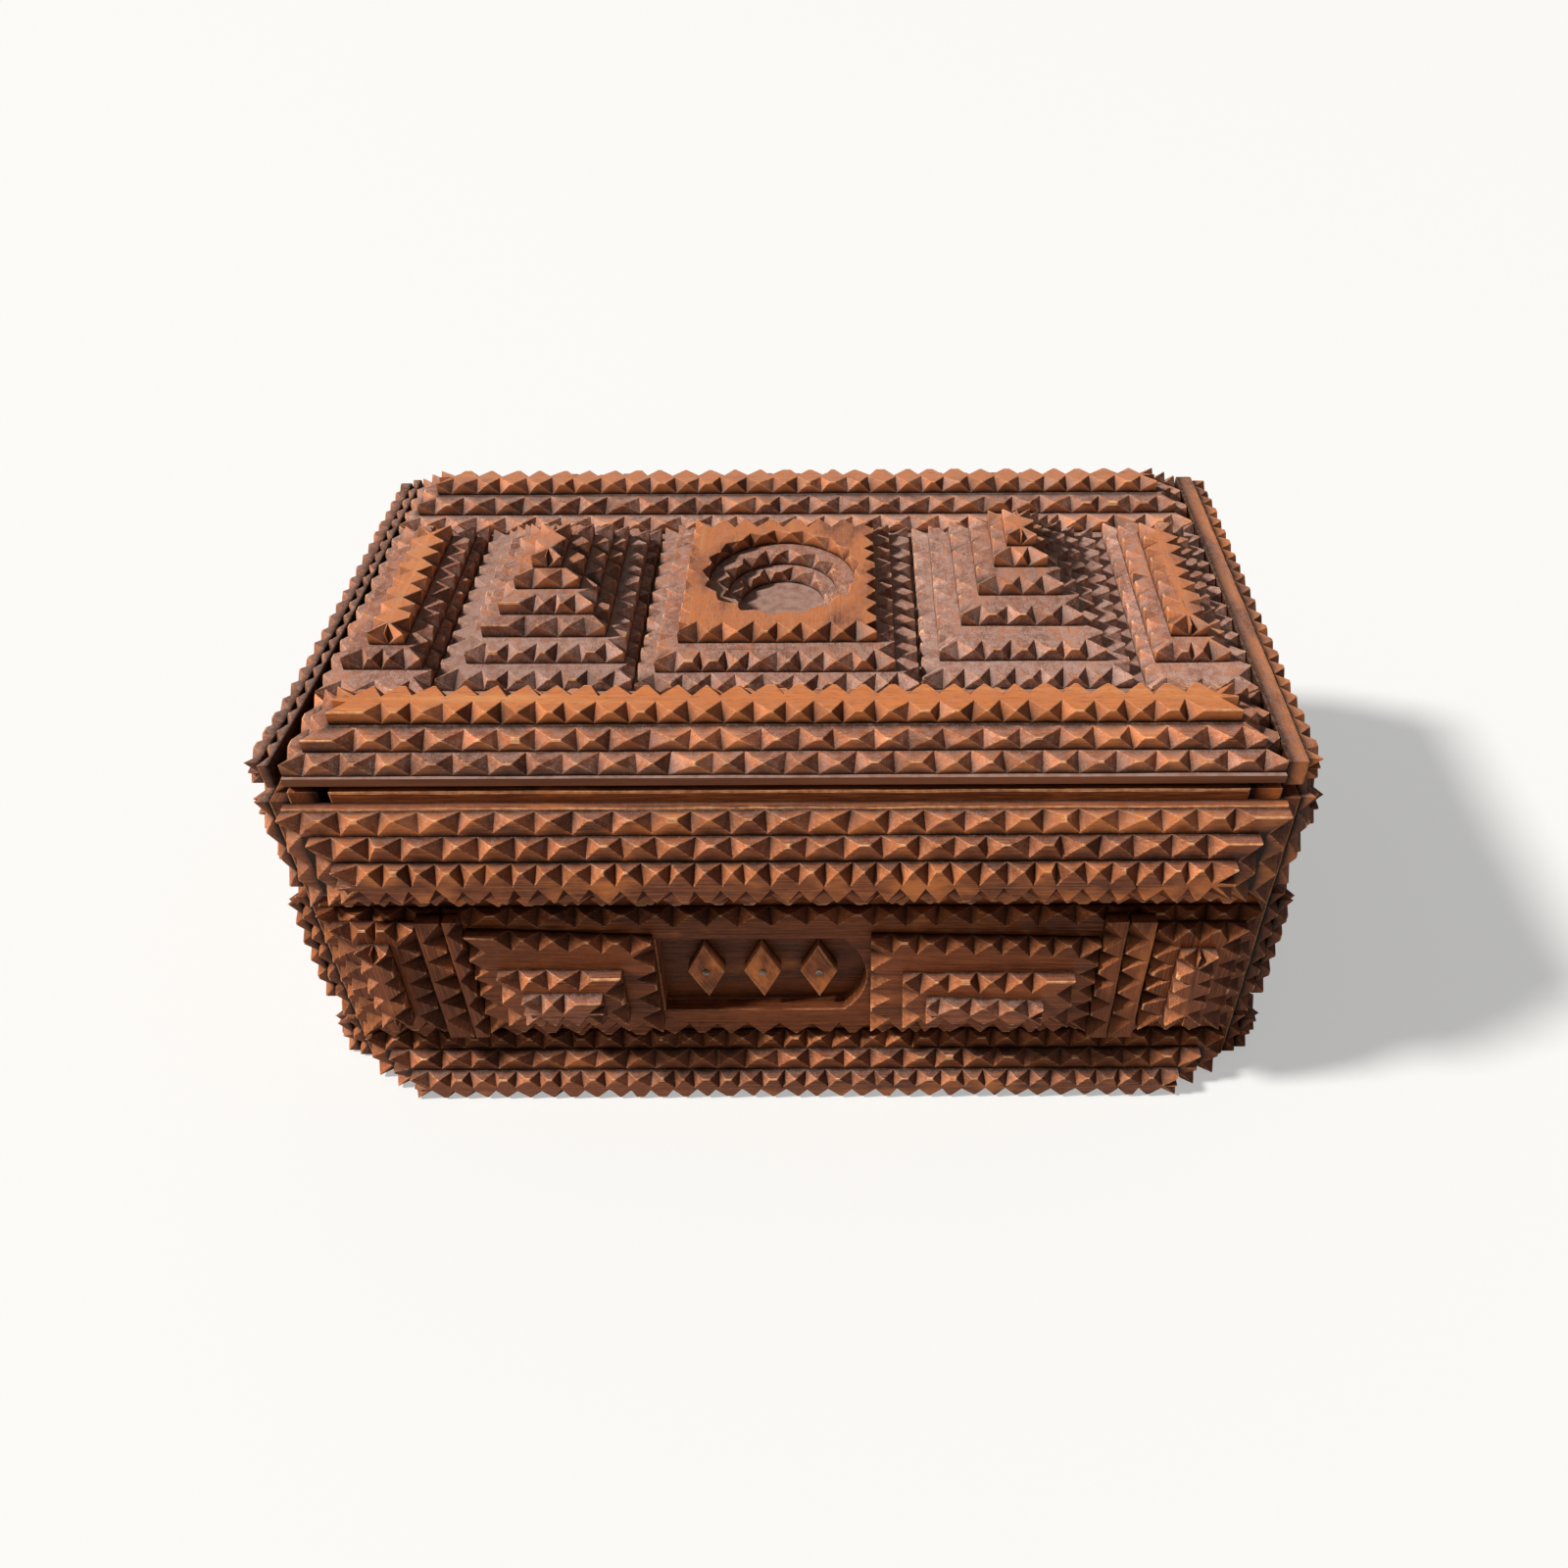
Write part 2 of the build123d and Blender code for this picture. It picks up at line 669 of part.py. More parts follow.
def bowl_notch_tool(level, radius, count):
    """One slanted V groove on the arris of a round hole, pointing along +X from the bowl's centre."""
    drop = layer - notch_foot
    reach = math.hypot(bowl_notch_run, drop)
    height = bowl_notch_run * drop / reach
    half_width = math.pi * radius / count
    top = lid_top + (level + 1) * layer
    slope = Vector(-bowl_notch_run, 0, -drop).normalized()
    origin = Vector(bowl_x + radius + bowl_notch_run, bowl_y, top) - slope * cutter_margin
    rise = (height + cutter_margin) / (height + bowl_tip_flat)
    with BuildPart() as tool:
        with BuildSketch(Plane(origin=origin, x_dir=(0, -1, 0), z_dir=slope)):
            with BuildLine():
                Polyline(
                    (0, 0),
                    (half_width * rise, height + cutter_margin),
                    (-half_width * rise, height + cutter_margin),
                    close=True,
                )
            make_face()
        extrude(amount=reach + 2 * cutter_margin)
    return tool.part.moved(Location((-bowl_x, -bowl_y, 0)))


for level, span in enumerate(bowl_boards):
    groove = bowl_notch_tool(level, bowl_radii[level], bowl_notches[level])
    with BuildPart() as bowl_board:
        add(carved_board(lid_face(level), span, close_pitch))
        with BuildSketch(lid_face(level)):
            with Locations((bowl_x, bowl_y)):
                Circle(bowl_radii[level])
        extrude(amount=layer, mode=Mode.SUBTRACT)
        with Locations([(bowl_x, bowl_y, 0)]):
            with PolarLocations(radius=0, count=bowl_notches[level]):
                add(groove, mode=Mode.SUBTRACT)
    save(bowl_board, f"bowl_board_{level + 1}")

# The lid's end rails: a plain rail against each end of the lid and a carved strip outside it.
# The left pair has sprung a little away from the lid at the front and holds at the back.
left_outer = box_half_width + left_rail_thickness
right_outer = box_half_width + right_rail_thickness
rail_half = box_half_depth - end_rail_setback
strip_half = box_half_depth - end_strip_setback
strip_low = lid_base + (end_rail_height - end_strip_height) / 2
strip_span = Span(-strip_half, strip_half, strip_low, strip_low + end_strip_height)
hold_point = Axis((-box_half_width, rail_half, 0), (0, 0, 1))

with BuildPart() as left_rail:
    with Locations([(-(box_half_width + left_outer) / 2, 0, lid_base + end_rail_height / 2)]):
        Box(left_rail_thickness, 2 * rail_half, end_rail_height)

with BuildPart() as end_rails:
    add(left_rail.part.rotate(hold_point, -splay_degrees))
    with Locations([((box_half_width + right_outer) / 2, 0, lid_base + end_rail_height / 2)]):
        Box(right_rail_thickness, 2 * rail_half, end_rail_height)
save(end_rails, "lid_end_rails")

with BuildPart() as end_strips:
    left_plane = Plane(origin=(-left_outer, 0, 0), x_dir=(0, -1, 0), z_dir=(-1, 0, 0))
    right_plane = Plane(origin=(right_outer, 0, 0), x_dir=(0, 1, 0), z_dir=(1, 0, 0))
    add(carved_board(left_plane, strip_span, fine_pitch).rotate(hold_point, -splay_degrees))
    add(carved_board(right_plane, strip_span, fine_pitch))
save(end_strips, "lid_end_strips")
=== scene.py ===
"""Looks of a notch-carved wooden cigar box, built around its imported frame.

Every carved board of the frame is made again as a surface worked out with numpy: the same board in the
same place, with uneven notches, worn tips and rounded corners. Plain boards get soft edges, and the
brass keeps the frame's own shape. Sizes here are in millimetres and become metres in the meshes.
"""

import json
import logging
import math
import zlib
from dataclasses import dataclass, field, fields, replace
from enum import Enum

import bpy
import numpy as np
from mathutils import Matrix, Vector
from mathutils.geometry import tessellate_polygon

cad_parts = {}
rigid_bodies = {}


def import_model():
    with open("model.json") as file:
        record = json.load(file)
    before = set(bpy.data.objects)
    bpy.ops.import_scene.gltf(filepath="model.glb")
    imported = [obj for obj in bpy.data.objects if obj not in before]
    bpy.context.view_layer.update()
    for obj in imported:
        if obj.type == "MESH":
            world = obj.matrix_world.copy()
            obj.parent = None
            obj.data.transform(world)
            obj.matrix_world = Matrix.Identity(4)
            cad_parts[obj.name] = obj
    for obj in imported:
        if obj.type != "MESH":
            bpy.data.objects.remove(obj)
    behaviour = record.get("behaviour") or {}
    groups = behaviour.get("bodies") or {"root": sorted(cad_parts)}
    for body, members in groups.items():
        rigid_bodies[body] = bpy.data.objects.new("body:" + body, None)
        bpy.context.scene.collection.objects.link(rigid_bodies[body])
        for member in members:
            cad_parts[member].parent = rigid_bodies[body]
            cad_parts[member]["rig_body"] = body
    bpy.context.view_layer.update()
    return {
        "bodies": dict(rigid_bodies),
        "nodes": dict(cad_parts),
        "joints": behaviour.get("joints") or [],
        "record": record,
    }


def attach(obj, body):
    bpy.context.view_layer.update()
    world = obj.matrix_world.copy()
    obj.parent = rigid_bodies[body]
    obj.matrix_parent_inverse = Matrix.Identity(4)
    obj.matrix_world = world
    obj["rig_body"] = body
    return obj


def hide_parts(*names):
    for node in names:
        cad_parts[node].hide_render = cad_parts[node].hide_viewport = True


MM = 0.001
LAYER = 3.66

log = logging.getLogger("cigar_box")


class Face(Enum):
    """The side of the box that a board is glued to, as the board's own right, up and outward axes."""

    FRONT = ((1, 0, 0), (0, 0, 1), (0, -1, 0))
    BACK = ((-1, 0, 0), (0, 0, 1), (0, 1, 0))
    LEFT = ((0, -1, 0), (0, 0, 1), (-1, 0, 0))
    RIGHT = ((0, 1, 0), (0, 0, 1), (1, 0, 0))
    TOP = ((1, 0, 0), (0, 1, 0), (0, 0, 1))

    @property
    def axes(self) -> np.ndarray:
        """The three axes as the rows of a matrix."""
        return np.array(self.value, float)


class Edge(Enum):
    """The edges of a board in the order in which they are carved, seen from outside."""

    LOW = 0
    RIGHT = 1
    HIGH = 2
    LEFT = 3


class Slot(Enum):
    """The record's material slots; a wooden piece's slot only picks the end of its name."""

    CARVED = "carved_wood"
    PLAIN = "plain_wood"


@dataclass(frozen=True)
class Knife:
    """How a row of notches is cut: its spacing, its size and how uneven the hand was.

    Attributes:
        pitch: Distance from valley to valley.
        run: How far a full notch reaches over the broad face.
        foot: What a full notch leaves of the board's thickness at its edge.
        corner_land: Room between the last notch and the corner.
        drift: How far a valley or tip strays, as a share of the pitch.
        shallow: The smallest notch, as a share of a full one.
        deep: The largest notch, as a share of a full one.
        skew: How far a notch leans along the edge.
        longest_land: The longest flat left at a tip.
        tip_wear: The least and greatest rounding of a tip.
        chipped_share: The share of tips that are blunted.
        chipped_wear: The least and greatest rounding of a blunted tip.
    """

    pitch: float
    run: float = 4.4
    foot: float = 0.3
    corner_land: float = 0.2
    drift: float = 0.09
    shallow: float = 0.86
    deep: float = 1.04
    skew: float = 0.4
    longest_land: float = 2.2
    tip_wear: tuple[float, float] = (0.10, 0.34)
    chipped_share: float = 0.06
    chipped_wear: tuple[float, float] = (0.5, 1.1)


@dataclass(frozen=True)
class Look:
    """What one board looks like beside its neighbours: its polish, its dust and its own tone."""

    polish: float = 0.3
    dust: float = 0.3
    tone: float = 0.0


@dataclass
class Surface:
    """Triangles under way to one mesh, with what the materials read from them."""

    points: list[np.ndarray] = field(default_factory=list)
    triangles: list[np.ndarray] = field(default_factory=list)
    point_marks: dict[str, list[np.ndarray]] = field(default_factory=dict)
    face_marks: dict[str, list[np.ndarray]] = field(default_factory=dict)
    count: int = 0

    def add(
        self,
        points: np.ndarray,
        triangles: np.ndarray,
        point_marks: dict[str, np.ndarray],
        face_marks: dict[str, np.ndarray],
    ) -> None:
        """Add a patch of triangles.

        Args:
            points: Places in millimetres, one row each.
            triangles: Point numbers within this patch, three to a row.
            point_marks: Values for each point, by name.
            face_marks: Values for each triangle, by name.
        """
        self.points.append(points)
        self.triangles.append(triangles + self.count)
        self.count += len(points)
        for marks, new in ((self.point_marks, point_marks), (self.face_marks, face_marks)):
            for name, values in new.items():
                marks.setdefault(name, []).append(values)

    def make(self, name: str) -> bpy.types.Object:
        """Join points at one place, drop triangles that have shrunk to a line and make the object.

        Args:
            name: The object's name.

        Returns:
            The new object, at the origin, with its place in its mesh.
        """
        points = np.vstack(self.points)
        keys, first, number = np.unique(points.round(4), axis=0, return_index=True, return_inverse=True)
        triangles = number.reshape(-1)[np.vstack(self.triangles)]
        whole = (
            (triangles[:, 0] != triangles[:, 1])
            & (triangles[:, 1] != triangles[:, 2])
            & (triangles[:, 2] != triangles[:, 0])
        )
        triangles = triangles[whole]
        mesh = bpy.data.meshes.new(name)
        mesh.from_pydata((points[first] * MM).tolist(), [], triangles.tolist())
        for mark, values in self.point_marks.items():
            self._store(mesh, mark, "POINT", np.concatenate(values)[first])
        for mark, values in self.face_marks.items():
            self._store(mesh, mark, "FACE", np.concatenate(values)[whole])
        mesh.validate()
        piece = bpy.data.objects.new(name, mesh)
        bpy.context.scene.collection.objects.link(piece)
        return piece

    @staticmethod
    def _store(mesh: bpy.types.Mesh, name: str, domain: str, values: np.ndarray) -> None:
        """Write one named set of values into the mesh."""
        if values.ndim == 1:
            attribute = mesh.attributes.new(name, "FLOAT", domain)
            attribute.data.foreach_set("value", values.astype(np.float32))
        else:
            attribute = mesh.attributes.new(name, "FLOAT_VECTOR", domain)
            attribute.data.foreach_set("vector", values.astype(np.float32).ravel())


# Columns of an arris strip, from the board's broad face over the arris to the foot of its edge
FACE_LINE, TOP_BEVEL, CUT_TOP, CUT_MIDDLE, CUT_FOOT, FOOT_BEVEL, EDGE_FOOT, UNDER_LINE = range(8)
COLUMNS = 8
CUT_SHARE = np.array([0.0, 0.5, 1.0, 1.0, 0.5, 0.0, 0.0])
RIDGE_SHARE = np.array([0.0, 1.0, 0.0, 0.0, 1.0, 0.0, 0.0])
WORN_SHARE = np.array([0.0, 1.0, 1.0, 1.0, 1.0, 0.0, 0.0])
# NOOK_SHARE: how tucked in each column is, which brings grime, dust and painted shade
NOOK_SHARE = np.array([0.0, 0.15, 0.45, 0.8, 0.95, 0.75, 0.95, 1.0])
SLANT_SHARE = np.array([0, 1, 1, 0, -1, -1, 0, 0])
STEPS_TO_TIP = np.array([0.3, 0.6, 0.82, 0.93, 1.0])

# A row cut to less than TIP_CUT of its notch is a tip, rounded by a share of its width, and one below
# WORN_CUT is rubbed bright, as wear with a painted highlight. A plain arris is rubbed less
TIP_CUT = 0.1
TIP_ROUNDING = 0.18
WORN_CUT = 0.16
PLAIN_WORN = 0.35

# The least and greatest bow of a facet and the least land at a tip, in millimetres, and the most that a
# land takes up of the gap between two valleys
FACET_BOW = (-0.10, 0.06)
LEAST_LAND = 0.1
LAND_SHARE = 0.35

# The bevels where a facet meets the board's faces and those of a strip's plain arrises, in millimetres,
# and the greatest share of a facet that they take up
BEVEL = 0.15
STRIP_BEVEL = 0.04
BEVEL_SHARE = 0.35

# The depth that any arris may be cut or worn to, in millimetres, and the least height at which a facet
# ends, as a share of the bevel under the edge
LEAST_DROP = 0.3
FOOT_CLEAR = 1.1

# Room kept on a board's face in millimetres: beside a plain arris, beside that of a narrow strip, from
# the deepest valley to the untouched face, the same round a hole, and from the valleys to the middle of
# the board, which the untouched face stays a hair away from
PLAIN_ROOM = 0.2
STRIP_ROOM = 0.05
VALLEY_ROOM = 0.3
HOLE_ROOM = 0.25
FACE_ROOM = 0.22
HAIR = 0.02

# Two places closer than this, in millimetres, are one
SAME_PLACE = 1e-4

# How much grime, dust and painted shade the face under a board gets, and the power with which they gather
# towards a valley
UNDER_NOOK = 0.6
NOOK_POWER = 1.5

# Lengths in millimetres of the waves in a board's outline, two across it and two along it
WAVES = (17.0, 6.3, 23.0, 7.1)


@dataclass
class Arris:
    """One outer corner of a board, cut into a row of pyramids or left plain.

    The strip is a grid: places along the arris by columns across it. Where a notch has the share c of
    its full size, its cut takes the broad face back by run times c and the edge down by drop times c,
    and the facet is the straight line between those two points. c is 1 in the valley of a notch and
    falls evenly to 0 at the tips on both sides.

    Attributes:
        length: Length of the arris.
        height: Thickness of the board.
        knife: How it is cut, or None for a plain arris.
        run: How far a full notch reaches over the face.
        margin: How far from the edge the untouched face begins.
        rng: The board's random draws.
        corner_margins: The margins at the start and finish, where the next edges' rows begin.
        corner_wear: The rounding of the corners at the start and finish.
        crowded: How much grime, dust and painted shade gather on the face beside the notches.
        plain: Uncut lengths at the start and finish.
        closed_count: The number of notches round a closed arris, or 0 for a straight one.
        bevel: The bevel where a facet meets the board's faces.
        foot_bevel: The bevel under the edge.
        plain_wear: The least and greatest rounding of a plain arris.
        plain_step: Distance between the places where a plain arris changes its rounding.
    """

    length: float
    height: float
    knife: Knife | None
    run: float
    margin: float
    rng: np.random.Generator
    corner_margins: tuple[float, float] = (0.0, 0.0)
    corner_wear: tuple[float, float] = (0.0, 0.0)
    crowded: float = 0.0
    plain: tuple[float, float] = (0.0, 0.0)
    closed_count: int = 0
    bevel: float = BEVEL
    foot_bevel: float = 0.22
    plain_wear: tuple[float, float] = (0.2, 0.5)
    plain_step: float = 5.0

    def _valleys(self) -> np.ndarray:
        """Distances of the valleys along the arris, with the drift of a hand."""
        knife = self.knife
        if self.closed_count:
            spacing = self.length / self.closed_count
            places = (np.arange(self.closed_count) + 0.5) * spacing
        else:
            corner = self.run + knife.corner_land
            first = [corner if gap == 0 else gap + knife.pitch / 2 for gap in self.plain]
            spans = max(1, round((self.length - sum(first)) / knife.pitch))
            places = np.linspace(first[0], self.length - first[1], spans + 1)
            spacing = places[1] - places[0]
        drift = self.rng.uniform(-knife.drift, knife.drift, len(places)) * spacing
        if not self.closed_count:
            drift[[0, -1]] = np.abs(drift[[0, -1]]) * (1, -1)
        return places + drift

    def _plain_rows(self) -> dict[str, np.ndarray]:
        """Rows of an arris with no notches: even steps with uneven wear."""
        steps = max(2, round(self.length / self.plain_step))
        along = np.linspace(0, self.length, steps + 1)
        wear = self.rng.uniform(*self.plain_wear, len(along))
        wear[[0, -1]] = self.corner_wear
        zero = np.zeros(len(along))
        return {"along": along, "cut": zero, "wear": wear, "skew": zero, "tone": zero, "hollow": zero}

    def _carved_rows(self) -> dict[str, np.ndarray]:
        """Rows of a notched arris: each valley, and its steps to the tips on both sides."""
        knife = self.knife
        valleys = self._valleys()
        count = len(valleys)
        depth = self.rng.uniform(knife.shallow, knife.deep, count)
        skew = self.rng.uniform(-knife.skew, knife.skew, count)
        gaps = np.diff(valleys)
        lands = LEAST_LAND + knife.longest_land * self.rng.random(count - 1) ** 3
        lands = np.minimum(lands, LAND_SHARE * gaps)
        tips = valleys[:-1] + gaps * (0.5 + self.rng.uniform(-knife.drift, knife.drift, count - 1))
        wear = self.rng.uniform(*knife.tip_wear, count + 1)
        chipped = self.rng.random(count + 1) < knife.chipped_share
        wear[chipped] = self.rng.uniform(*knife.chipped_wear, chipped.sum())
        if self.closed_count:
            half = (valleys[0] + self.length - valleys[-1]) / 2
            before, after = half, half
            wear[-1] = wear[0]
        else:
            before = valleys[0] if self.plain[0] == 0 else knife.pitch / 2
            after = self.length - valleys[-1] if self.plain[1] == 0 else knife.pitch / 2
            wear[[0, -1]] = self.corner_wear
        left = np.concatenate([[before], valleys[1:] - tips - lands / 2])
        right = np.concatenate([tips - lands / 2 - valleys[:-1], [after]])
        shares = np.concatenate([-STEPS_TO_TIP[::-1], [0.0], STEPS_TO_TIP])

        def by_side(before_valley: np.ndarray, after_valley: np.ndarray) -> np.ndarray:
            """One value for each step, from its own side of the valley."""
            return np.where(shares[None, :] < 0, before_valley[:, None], after_valley[:, None])

        along = valleys[:, None] + shares[None, :] * by_side(left, right)
        tones = self.rng.normal(0, 1, (count, 2))
        bows = self.rng.uniform(*FACET_BOW, (count, 2))
        rows = {
            "along": along,
            "cut": (1 - np.abs(shares))[None, :] * depth[:, None],
            "wear": by_side(wear[:-1], wear[1:]),
            "skew": np.broadcast_to(skew[:, None], along.shape),
            "tone": by_side(tones[:, 0], tones[:, 1]),
            "hollow": by_side(bows[:, 0], bows[:, 1]),
        }
        flat = {name: values.ravel() for name, values in rows.items()}
        if not self.closed_count:
            for end, gap in enumerate(self.plain):
                if gap > 0:
                    flat = self._with_plain_end(flat, end)
        return flat

    def _with_plain_end(self, rows: dict[str, np.ndarray], end: int) -> dict[str, np.ndarray]:
        """Add the uncut end of an arris to its rows, at its start (0) or at its finish (1)."""
        added = dict.fromkeys(rows, 0.0) | {"along": self.length * end, "wear": self.corner_wear[end]}
        joined = {}
        for name, row in rows.items():
            pair = ([added[name]], row)
            joined[name] = np.concatenate(pair if end == 0 else pair[::-1])
        return joined

    def strip(self) -> tuple[np.ndarray, np.ndarray, dict[str, np.ndarray], dict[str, np.ndarray]]:
        """Work out the strip.

        Returns:
            Places as (along, inward, outward) for each row and column, the triangles, the point marks
            and the face marks.
        """
        rows = self._carved_rows() if self.knife else self._plain_rows()
        along, cut, wear = rows["along"], rows["cut"], rows["wear"]
        drop = self.height - (self.knife.foot if self.knife else self.height * 0.5)
        back = np.hypot(self.run * cut, wear)
        down = np.minimum(np.hypot(drop * cut, wear), max(drop, LEAST_DROP))
        facet = np.hypot(back, down)
        bevel = np.minimum(self.bevel, BEVEL_SHARE * facet)
        inward = np.zeros((len(along), COLUMNS))
        outward = np.zeros_like(inward)
        inward[:, FACE_LINE] = self.margin
        outward[:, FACE_LINE] = self.height
        inward[:, TOP_BEVEL] = back + self.bevel
        outward[:, TOP_BEVEL] = self.height
        inward[:, CUT_TOP] = back * (1 - bevel / facet)
        outward[:, CUT_TOP] = self.height - down * bevel / facet
        share = np.clip(cut, 0, 1)
        bow = np.where(cut < TIP_CUT, TIP_ROUNDING * facet, rows["hollow"] * np.sin(np.pi * share))
        inward[:, CUT_MIDDLE] = back / 2 - bow * down / facet
        outward[:, CUT_MIDDLE] = self.height - down / 2 + bow * back / facet
        inward[:, CUT_FOOT] = back * bevel / facet
        outward[:, CUT_FOOT] = self.height - down * (1 - bevel / facet)
        outward[:, FOOT_BEVEL] = np.maximum(self.height - down - self.bevel, self.foot_bevel * FOOT_CLEAR)
        outward[:, EDGE_FOOT] = self.foot_bevel
        inward[:, UNDER_LINE] = self.foot_bevel
        spread = along[:, None] + SLANT_SHARE[None, :] * (rows["skew"] * share)[:, None]
        if not self.closed_count:
            spread = np.clip(spread, inward, self.length - inward)
            start, finish = self.corner_margins
            spread[:, FACE_LINE] = np.clip(along, start, self.length - finish)
            inward[along <= start, FACE_LINE] = start
            inward[along >= self.length - finish, FACE_LINE] = finish
        places = np.stack([spread, inward, outward], axis=-1)

        # nook: how tucked in a place is, from the valleys to the feet of edges and the face beside the
        # next layer; it brings grime, dust and painted shade.
        nook = NOOK_SHARE[None, :] * share[:, None] ** NOOK_POWER
        nook[:, EDGE_FOOT:] = 1.0
        nook[:, FACE_LINE] = self.crowded
        row_tone = (rows["tone"][:-1] + rows["tone"][1:]) / 2
        row_cut = (cut[:-1] + cut[1:]) / 2
        tone = row_tone[:, None] * CUT_SHARE[None, :]
        worn = np.clip(1 - row_cut / WORN_CUT, 0, 1)[:, None] * WORN_SHARE[None, :]
        faces = {
            "facet": np.broadcast_to(CUT_SHARE, tone.shape),
            "ridge": np.broadcast_to(RIDGE_SHARE, tone.shape),
            "worn": worn * (1.0 if self.knife else PLAIN_WORN),
            "cut_tone": tone,
        }
        triangles = grid_triangles(len(along), COLUMNS)
        point_marks = {"nook": nook.ravel()}
        face_marks = {name: np.repeat(values.ravel(), 2) for name, values in faces.items()}
        return places, triangles, point_marks, face_marks


def grid_triangles(rows: int, columns: int) -> np.ndarray:
    """Two triangles for each cell of a grid of points, facing away from the board."""
    number = np.arange(rows * columns).reshape(rows, columns)
    a, b = number[:-1, :-1].ravel(), number[1:, :-1].ravel()
    c, d = number[1:, 1:].ravel(), number[:-1, 1:].ravel()
    return np.stack([a, c, b, a, d, c], axis=1).reshape(-1, 3)


def closed_marks(marks: dict[str, np.ndarray], count: int) -> dict[str, np.ndarray]:
    """Marks of a strip that runs on into its own start: the first values come once more at the end."""
    return {name: np.concatenate([values, values[:count]]) for name, values in marks.items()}


def flat_triangles(loops: list[np.ndarray], upward: bool) -> tuple[np.ndarray, np.ndarray]:
    """Fill a flat outline, with any holes, with triangles.

    Args:
        loops: The outline and its holes, as points of two numbers.
        upward: Whether the triangles turn anticlockwise.

    Returns:
        The points of all the loops and the triangles between them.
    """
    clean = []
    for loop in loops:
        step = np.abs(loop - np.roll(loop, 1, axis=0)).max(axis=1)
        clean.append(loop[step > SAME_PLACE])
    filled = tessellate_polygon([[Vector((x, y, 0.0)) for x, y in loop] for loop in clean])
    points = np.vstack(clean)
    triangles = np.array(filled)
    p, q, r = (points[triangles[:, corner]] for corner in range(3))
    area = (q[:, 0] - p[:, 0]) * (r[:, 1] - p[:, 1]) - (q[:, 1] - p[:, 1]) * (r[:, 0] - p[:, 0])
    wrong = (area < 0) if upward else (area > 0)
    triangles[wrong] = triangles[wrong][:, ::-1]
    return points, triangles


@dataclass(frozen=True)
class RoundHole:
    """A round hole through a board, its arris notched like the board's own."""

    centre: tuple[float, float]
    radius: float
    notches: int
    run: float

    def place(self, strip: np.ndarray) -> np.ndarray:
        """Bend a strip round the hole, clockwise, so that the wood is on its left."""
        angle = -strip[..., 0] / self.radius
        reach = self.radius + strip[..., 1]
        u = self.centre[0] + reach * np.cos(angle)
        v = self.centre[1] + reach * np.sin(angle)
        return np.stack([u, v, strip[..., 2]], axis=-1)


@dataclass(frozen=True)
class BowedWindow:
    """A window cut through or into a board: square at the left and bowed at the right.

    Its arris is rounded off by soft, its walls are darker towards the floor with grime and painted shade,
    and its floor has a painted shade of its own, given so that what lies in the window stands out from it.
    """

    left: float
    shoulder: float
    right: float
    low: float
    high: float
    depth: float
    arc_steps: int = 16
    soft: float = 0.35
    wall_nooks: tuple[float, ...] = (0.0, 0.05, 0.2)
    painted_floor_shade: float = -1.7

    def outline(self, grow: float) -> np.ndarray:
        """Its outline grown by an amount, clockwise: three straight edges and one arc."""
        half = (self.high - self.low) / 2 + grow
        middle = (self.high + self.low) / 2
        bow = self.right - self.shoulder + grow
        radius = (half**2 + bow**2) / (2 * bow)
        centre = self.right + grow - radius
        swing = math.asin(half / radius)
        angle = np.linspace(swing, -swing, self.arc_steps + 1)
        arc = np.stack([centre + radius * np.cos(angle), middle + radius * np.sin(angle)], axis=1)
        corners = np.array([[self.left - grow, middle - half], [self.left - grow, middle + half]])
        return np.vstack([arc, corners])


